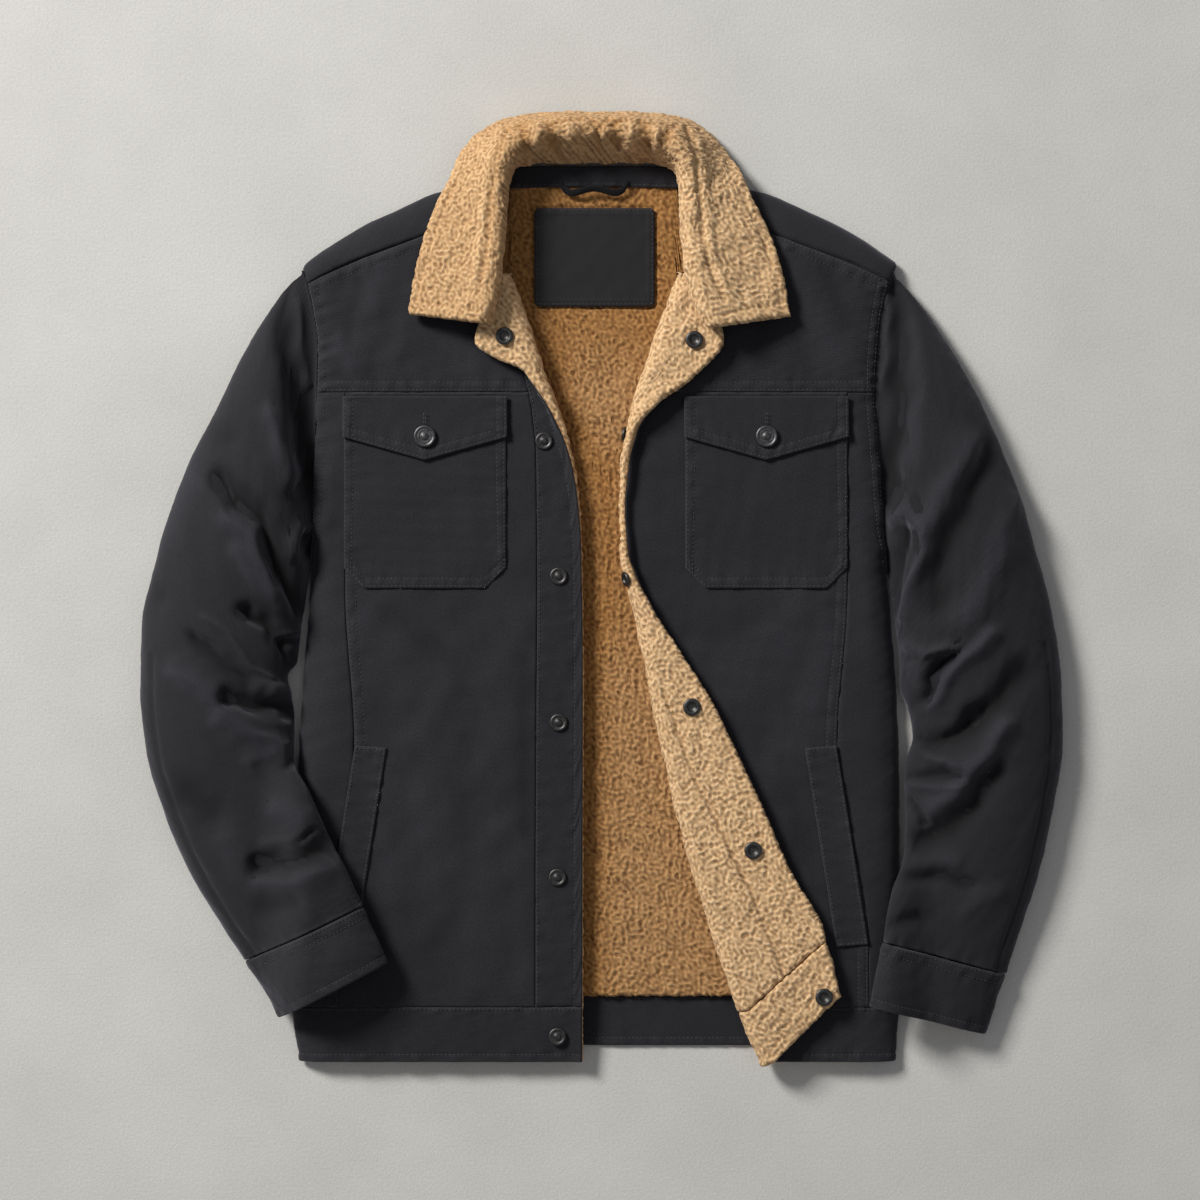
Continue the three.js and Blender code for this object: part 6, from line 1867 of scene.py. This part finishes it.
def new_group(name: str, inputs: dict[str, float], outputs: dict[str, str]) -> tuple[bpy.types.NodeTree, Nodes]:
    """An empty shader node group with named sockets.

    Args:
        name: the group's name.
        inputs: each float input with its value.
        outputs: each output with its socket type.

    Returns:
        The group and its helper.
    """
    tree = bpy.data.node_groups.new(name, "ShaderNodeTree")
    for key, value in inputs.items():
        socket = tree.interface.new_socket(key, in_out="INPUT", socket_type="NodeSocketFloat")
        socket.default_value = value
    for key, kind in outputs.items():
        tree.interface.new_socket(key, in_out="OUTPUT", socket_type=kind)
    return tree, Nodes(tree)


class Effects:
    """The shader node groups that more than one material uses."""

    def __init__(self) -> None:
        """Build each group once."""
        self.weave = self.make_weave()
        self.mottle = self.make_mottle()
        self.wear = self.make_wear()
        self.shade = self.make_shade()

    def make_weave(self) -> bpy.types.NodeTree:
        """Diagonal ribs of twill over the cloth, with slubs."""
        tree, n = new_group("twill weave", {"Pitch": 1.0, "Turn": 1.0}, {"Height": "NodeSocketFloat", "Fleck": "NodeSocketFloat"})
        given = n.add("NodeGroupInput")
        out = n.add("NodeGroupOutput")
        place = n.add("ShaderNodeTexCoord").outputs["UV"]
        ribs_per_metre = n.math("DIVIDE", 160.0, given.outputs["Pitch"])
        turned = n.add("ShaderNodeVectorRotate", {"rotation_type": "Z_AXIS"}, Vector=place, Angle=given.outputs["Turn"])
        ribs = n.add("ShaderNodeTexWave", {"wave_type": "BANDS"}, Vector=turned.outputs[0], Scale=ribs_per_metre,
                     Distortion=1.2, Detail=2.0, Detail_Scale=6.0)
        slubs = n.add("ShaderNodeTexNoise", Vector=place, Scale=520.0, Detail=4.0, Roughness=0.7)
        height = n.math("ADD", n.math("MULTIPLY", ribs.outputs["Fac"], 0.7), n.math("MULTIPLY", slubs.outputs["Fac"], 0.6))
        tree.links.new(height, out.inputs["Height"])
        tree.links.new(slubs.outputs["Fac"], out.inputs["Fleck"])
        return tree

    def make_mottle(self) -> bpy.types.NodeTree:
        """Slow, uneven patches for colour and roughness."""
        tree, n = new_group("mottle", {"Scale": 12.0, "Sharpness": 1.4}, {"Mask": "NodeSocketFloat"})
        given = n.add("NodeGroupInput")
        out = n.add("NodeGroupOutput")
        place = n.add("ShaderNodeTexCoord").outputs["Object"]
        noise = n.add("ShaderNodeTexNoise", Vector=place, Scale=given.outputs["Scale"], Detail=5.0, Roughness=0.62)
        centred = n.math("SUBTRACT", noise.outputs["Fac"], 0.5)
        wide = n.math("MULTIPLY", centred, given.outputs["Sharpness"])
        tree.links.new(n.math("ADD", wide, 0.5, True), out.inputs["Mask"])
        return tree

    def make_wear(self) -> bpy.types.NodeTree:
        """Rubbed places along seams and edges, broken up by the cloth's grain."""
        tree, n = new_group("edge wear", {"Amount": 0.5, "Grain": 260.0}, {"Mask": "NodeSocketFloat"})
        given = n.add("NodeGroupInput")
        out = n.add("NodeGroupOutput")
        worn = n.add("ShaderNodeAttribute", {"attribute_name": "worn"}).outputs["Fac"]
        place = n.add("ShaderNodeTexCoord").outputs["Object"]
        noise = n.add("ShaderNodeTexNoise", Vector=place, Scale=given.outputs["Grain"], Detail=3.0)
        broken = n.math("MULTIPLY", worn, n.math("MULTIPLY", noise.outputs["Fac"], 1.7))
        tree.links.new(n.math("MULTIPLY", broken, given.outputs["Amount"], True), out.inputs["Mask"])
        return tree

    def make_shade(self) -> bpy.types.NodeTree:
        """Painted shade in the cloth's hollows and painted highlight on its crests, as a factor of its colour."""
        tree, n = new_group("shade", {"Depth": 1.8}, {"Factor": "NodeSocketFloat"})
        given = n.add("NodeGroupInput")
        out = n.add("NodeGroupOutput")
        value = n.add("ShaderNodeAttribute", {"attribute_name": "shade"}).outputs["Fac"]
        swing = n.math("MULTIPLY", n.math("SUBTRACT", value, 0.5), given.outputs["Depth"])
        tree.links.new(n.math("MAXIMUM", n.math("ADD", swing, 1.0), 0.12), out.inputs["Factor"])
        return tree


def new_material(name: str) -> tuple[bpy.types.Material, Nodes, bpy.types.Node]:
    """A material with a Principled shader, its helper and the shader node."""
    material = bpy.data.materials.new(name)
    material.use_nodes = True
    tree = material.node_tree
    return material, Nodes(tree), tree.nodes["Principled BSDF"]


def use_group(nodes: Nodes, tree: bpy.types.NodeTree, **values: float) -> bpy.types.Node:
    """Place a node group and set its inputs."""
    node = nodes.tree.nodes.new("ShaderNodeGroup")
    node.node_tree = tree
    for key, value in values.items():
        node.inputs[key].default_value = value
    return node


Colour = tuple[float, float, float, float]


@dataclass(frozen=True)
class TwillFinish:
    """Woven cloth: washed charcoal twill, and the tape and label in their own tones."""

    name: str
    dark: Colour = (0.0085, 0.0082, 0.0102, 1)
    light: Colour = (0.0190, 0.0183, 0.0222, 1)
    rubbed: Colour = (0.0300, 0.0290, 0.0340, 1)
    pitch: float = 1.0
    turn: float = 1.05
    roughness: float = 0.86
    sheen: float = 0.22
    sheen_tint: Colour = (0.80, 0.79, 0.92, 1)
    bump: float = 0.28
    wear: float = 0.5
    # depth: how strongly the painted shade and highlight change the colour
    depth: float = 1.9

    def make(self, effects: Effects) -> bpy.types.Material:
        """Build the material."""
        material, n, shader = new_material(self.name)
        weave = use_group(n, effects.weave, Pitch=self.pitch, Turn=self.turn)
        patches = use_group(n, effects.mottle, Scale=16.0, Sharpness=1.6)
        wear = use_group(n, effects.wear, Amount=self.wear, Grain=300.0)
        fleck = n.math("MULTIPLY", n.math("SUBTRACT", weave.outputs["Fleck"], 0.5), 2.2)
        flecked = n.math("ADD", n.math("MULTIPLY", patches.outputs["Mask"], 0.5), n.math("ADD", fleck, 0.25), True)
        ground = n.blend(flecked, self.dark, self.light)
        worn = n.blend(wear.outputs["Mask"], ground, self.rubbed)
        # painted shade and highlight from the shade attribute
        shade = use_group(n, effects.shade, Depth=self.depth)
        colour = n.scaled(worn, shade.outputs["Factor"])
        bump = n.add("ShaderNodeBump", Strength=self.bump, Distance=0.0004, Height=weave.outputs["Height"])
        links = n.tree.links
        links.new(colour, shader.inputs["Base Color"])
        links.new(bump.outputs["Normal"], shader.inputs["Normal"])
        shader.inputs["Roughness"].default_value = self.roughness
        shader.inputs["Sheen Weight"].default_value = self.sheen
        shader.inputs["Sheen Roughness"].default_value = 0.45
        shader.inputs["Sheen Tint"].default_value = self.sheen_tint
        shader.inputs["Specular IOR Level"].default_value = 0.25
        return material


@dataclass(frozen=True)
class FleeceFinish:
    """Curly camel fleece: pale curls over a deep brown ground; the brown in the hollows between curls is partly painted
    shade, the pale tips partly painted highlight.
    """

    name: str = "curly camel fleece"
    ground: Colour = (0.200, 0.085, 0.024, 1)
    curl: Colour = (0.700, 0.465, 0.250, 1)
    tip: Colour = (0.900, 0.720, 0.500, 1)
    # deep: the tint of painted shade, which the fleece takes where the shade attribute is low
    deep: Colour = (0.42, 0.27, 0.10, 1)
    maze: float = 160.0
    roughness: float = 0.95
    sheen: float = 0.10

    def make(self, effects: Effects) -> bpy.types.Material:
        """Build the material."""
        material, n, shader = new_material(self.name)
        curl = n.add("ShaderNodeAttribute", {"attribute_name": "curl"}).outputs["Fac"]
        patches = use_group(n, effects.mottle, Scale=60.0, Sharpness=1.5)
        place = n.add("ShaderNodeTexCoord").outputs["Object"]
        fuzz = n.add("ShaderNodeTexNoise", Vector=place, Scale=900.0, Detail=4.0, Roughness=0.7)
        tilted = n.add("ShaderNodeVectorRotate", {"rotation_type": "AXIS_ANGLE"}, Vector=place,
                       Axis=(1.0, 1.0, 0.0), Angle=0.65)
        maze = n.add("ShaderNodeTexGabor", {"gabor_type": "2D"}, Vector=tilted.outputs[0], Scale=self.maze,
                     Frequency=1.4, Anisotropy=0.0)
        fine = n.math("MULTIPLY", n.math("SUBTRACT", maze.outputs["Value"], 0.30), 2.4, True)
        both = n.math("ADD", n.math("MULTIPLY", curl, 0.40), n.math("MULTIPLY", fine, 0.60))
        level = n.math("ADD", both, n.math("MULTIPLY", n.math("SUBTRACT", fuzz.outputs["Fac"], 0.5), 0.3))
        lifted = n.math("MULTIPLY", n.math("ADD", level, 0.08), 1.25, True)
        # Colour by height: towards the dark ground in the low places, partly painted shade, and towards pale tips on
        # the highest, partly painted highlight.
        base = n.blend(lifted, self.ground, self.curl)
        high = n.math("MULTIPLY", n.math("SUBTRACT", level, 0.7), 1.6, True)
        tipped = n.blend(n.math("MULTIPLY", high, patches.outputs["Mask"]), base, self.tip)
        # painted shade from the shade attribute, tinted towards deep
        shade = use_group(n, effects.shade, Depth=2.0)
        tint = n.blend(shade.outputs["Factor"], self.deep, (1.0, 1.0, 1.0, 1))
        height = n.math("ADD", fine, n.math("MULTIPLY", fuzz.outputs["Fac"], 0.35))
        bump = n.add("ShaderNodeBump", Strength=0.75, Distance=0.0012, Height=height)
        links = n.tree.links
        links.new(n.scaled(tipped, tint), shader.inputs["Base Color"])
        links.new(bump.outputs["Normal"], shader.inputs["Normal"])
        shader.inputs["Roughness"].default_value = self.roughness
        shader.inputs["Sheen Weight"].default_value = self.sheen
        shader.inputs["Sheen Roughness"].default_value = 0.6
        shader.inputs["Sheen Tint"].default_value = (1.0, 0.86, 0.68, 1)
        shader.inputs["Specular IOR Level"].default_value = 0.12
        return material


@dataclass(frozen=True)
class MetalFinish:
    """Satin gunmetal, a little dull in places."""

    name: str
    colour: Colour = (0.105, 0.102, 0.100, 1)
    dull: Colour = (0.040, 0.039, 0.038, 1)
    roughness: float = 0.44

    def make(self, effects: Effects) -> bpy.types.Material:
        """Build the material."""
        material, n, shader = new_material(self.name)
        patches = use_group(n, effects.mottle, Scale=420.0, Sharpness=1.8)
        colour = n.blend(patches.outputs["Mask"], self.dull, self.colour)
        rough = n.math("ADD", n.math("MULTIPLY", patches.outputs["Mask"], 0.14), self.roughness - 0.07)
        n.tree.links.new(colour, shader.inputs["Base Color"])
        n.tree.links.new(rough, shader.inputs["Roughness"])
        shader.inputs["Metallic"].default_value = 0.9
        return material


@dataclass(frozen=True)
class ThreadFinish:
    """Sewing thread, a little lighter than the cloth."""

    name: str = "charcoal thread"
    dark: Colour = (0.020, 0.019, 0.022, 1)
    light: Colour = (0.060, 0.058, 0.064, 1)

    def make(self, effects: Effects) -> bpy.types.Material:
        """Build the material."""
        material, n, shader = new_material(self.name)
        patches = use_group(n, effects.mottle, Scale=180.0, Sharpness=2.0)
        n.tree.links.new(n.blend(patches.outputs["Mask"], self.dark, self.light), shader.inputs["Base Color"])
        shader.inputs["Roughness"].default_value = 0.6
        return material


@dataclass
class Studio:
    """The pale floor, the soft light from the upper left and the camera straight above."""

    floor_size: float = 9.0
    floor_colour: Colour = (0.670, 0.660, 0.625, 1)
    floor_dark: Colour = (0.400, 0.392, 0.368, 1)
    view_width: float = 0.984
    camera_height: float = 2.7
    sensor: float = 36.0
    aim: tuple[float, float] = (-0.0012, -0.0096)
    key_power: float = 290.0
    key_size: float = 1.2
    fill_power: float = 2.0
    sky: float = 0.25

    def floor(self) -> None:
        """The floor, plain and pale with a faint mottle."""
        half = self.floor_size / 2
        corners = np.array([[-half, -half, 0], [half, -half, 0], [half, half, 0], [-half, half, 0]]) / MM
        piece = make_object("floor", corners - np.array([*FOOTPRINT, 0.05]), [np.array([[0, 1, 2, 3]])], False)
        material, n, shader = new_material("pale floor")
        place = n.add("ShaderNodeTexCoord").outputs["Object"]
        slow = n.add("ShaderNodeTexNoise", Vector=place, Scale=7.0, Detail=6.0, Roughness=0.6)
        quick = n.add("ShaderNodeTexNoise", Vector=place, Scale=430.0, Detail=4.0, Roughness=0.75)
        both = n.math("ADD", n.math("MULTIPLY", slow.outputs["Fac"], 0.55), n.math("MULTIPLY", quick.outputs["Fac"], 0.75))
        level = n.math("SUBTRACT", both, 0.1, True)
        bump = n.add("ShaderNodeBump", Strength=0.35, Distance=0.0011, Height=quick.outputs["Fac"])
        n.tree.links.new(n.blend(level, self.floor_dark, self.floor_colour), shader.inputs["Base Color"])
        n.tree.links.new(bump.outputs["Normal"], shader.inputs["Normal"])
        shader.inputs["Roughness"].default_value = 0.85
        piece.data.materials.append(material)

    def light(self, name: str, place: tuple[float, float, float], power: float, size: float, colour: tuple[float, float, float]) -> None:
        """A square area light that faces the jacket."""
        data = bpy.data.lights.new(name, "AREA")
        data.energy = power
        data.size = size
        data.color = colour
        lamp = bpy.data.objects.new(name, data)
        lamp.location = place
        lamp.rotation_euler = (-Vector(place)).to_track_quat("-Z", "Y").to_euler()
        bpy.context.scene.collection.objects.link(lamp)

    def camera(self) -> None:
        """The camera, straight above, with the photograph's field of view."""
        data = bpy.data.cameras.new("overhead camera")
        data.sensor_width = self.sensor
        data.sensor_fit = "HORIZONTAL"
        data.lens = self.sensor * (self.camera_height - 0.02) / self.view_width
        data.clip_end = 50
        camera = bpy.data.objects.new("overhead camera", data)
        camera.location = (*self.aim, self.camera_height)
        bpy.context.scene.collection.objects.link(camera)
        bpy.context.scene.camera = camera

    def build(self) -> None:
        """Set the scene."""
        self.camera()
        self.floor()
        self.light("key light", (-2.9, 2.6, 2.6), self.key_power, self.key_size, (1.0, 0.985, 0.96))
        self.light("fill light", (1.4, -0.9, 1.9), self.fill_power, 1.8, (0.93, 0.96, 1.0))
        world = bpy.data.worlds.new("soft sky")
        world.use_nodes = True
        background = world.node_tree.nodes["Background"]
        background.inputs["Color"].default_value = (0.93, 0.95, 1.0, 1)
        background.inputs["Strength"].default_value = self.sky
        bpy.context.scene.world = world
        bpy.context.scene.view_settings.view_transform = "Standard"


def sew_threads(shop: Workshop, effects: Effects) -> None:
    """Turn the gathered stitches into pieces."""
    material = ThreadFinish().make(effects)
    for threads in shop.threads.values():
        piece = threads.build()
        piece.data.materials.append(material)
        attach(piece, "root")


def main() -> None:
    """Build the studio and the jacket, and note their sizes."""
    Studio().build()
    effects = Effects()
    materials = {
        Finish.TWILL: TwillFinish("charcoal twill").make(effects),
        Finish.SHERPA: FleeceFinish().make(effects),
        Finish.TAPE: TwillFinish("neck tape", pitch=1.6, turn=1.57, sheen=0.15).make(effects),
        Finish.LABEL: TwillFinish(
            "label cloth", (0.0095, 0.0092, 0.0104, 1), (0.0125, 0.0122, 0.0136, 1), roughness=0.7, sheen=0.1, bump=0.06,
        ).make(effects),
        Finish.SNAP: MetalFinish("gunmetal studs").make(effects),
        Finish.BUTTON: MetalFinish("gunmetal buttons", colour=(0.15, 0.15, 0.158, 1)).make(effects),
    }
    shop = Workshop(BodyForm(), materials)
    Back(shop).build()
    Front(shop, -1).build()
    Front(shop, 1).build()
    Sleeve(shop, -1).build()
    Sleeve(shop, 1).build()
    Collar(shop).build()
    PatchPocket(shop, "right", -210, -77).build()
    PatchPocket(shop, "left", 70, 203).build()
    WeltPocket(shop, "right", -201, -25.5, 26).build()
    WeltPocket(shop, "left", 194, 26, -26).build()
    NeckTrim(shop).build()
    Fasteners(shop).build()
    sew_threads(shop, effects)


if __name__ == "__main__":
    main()
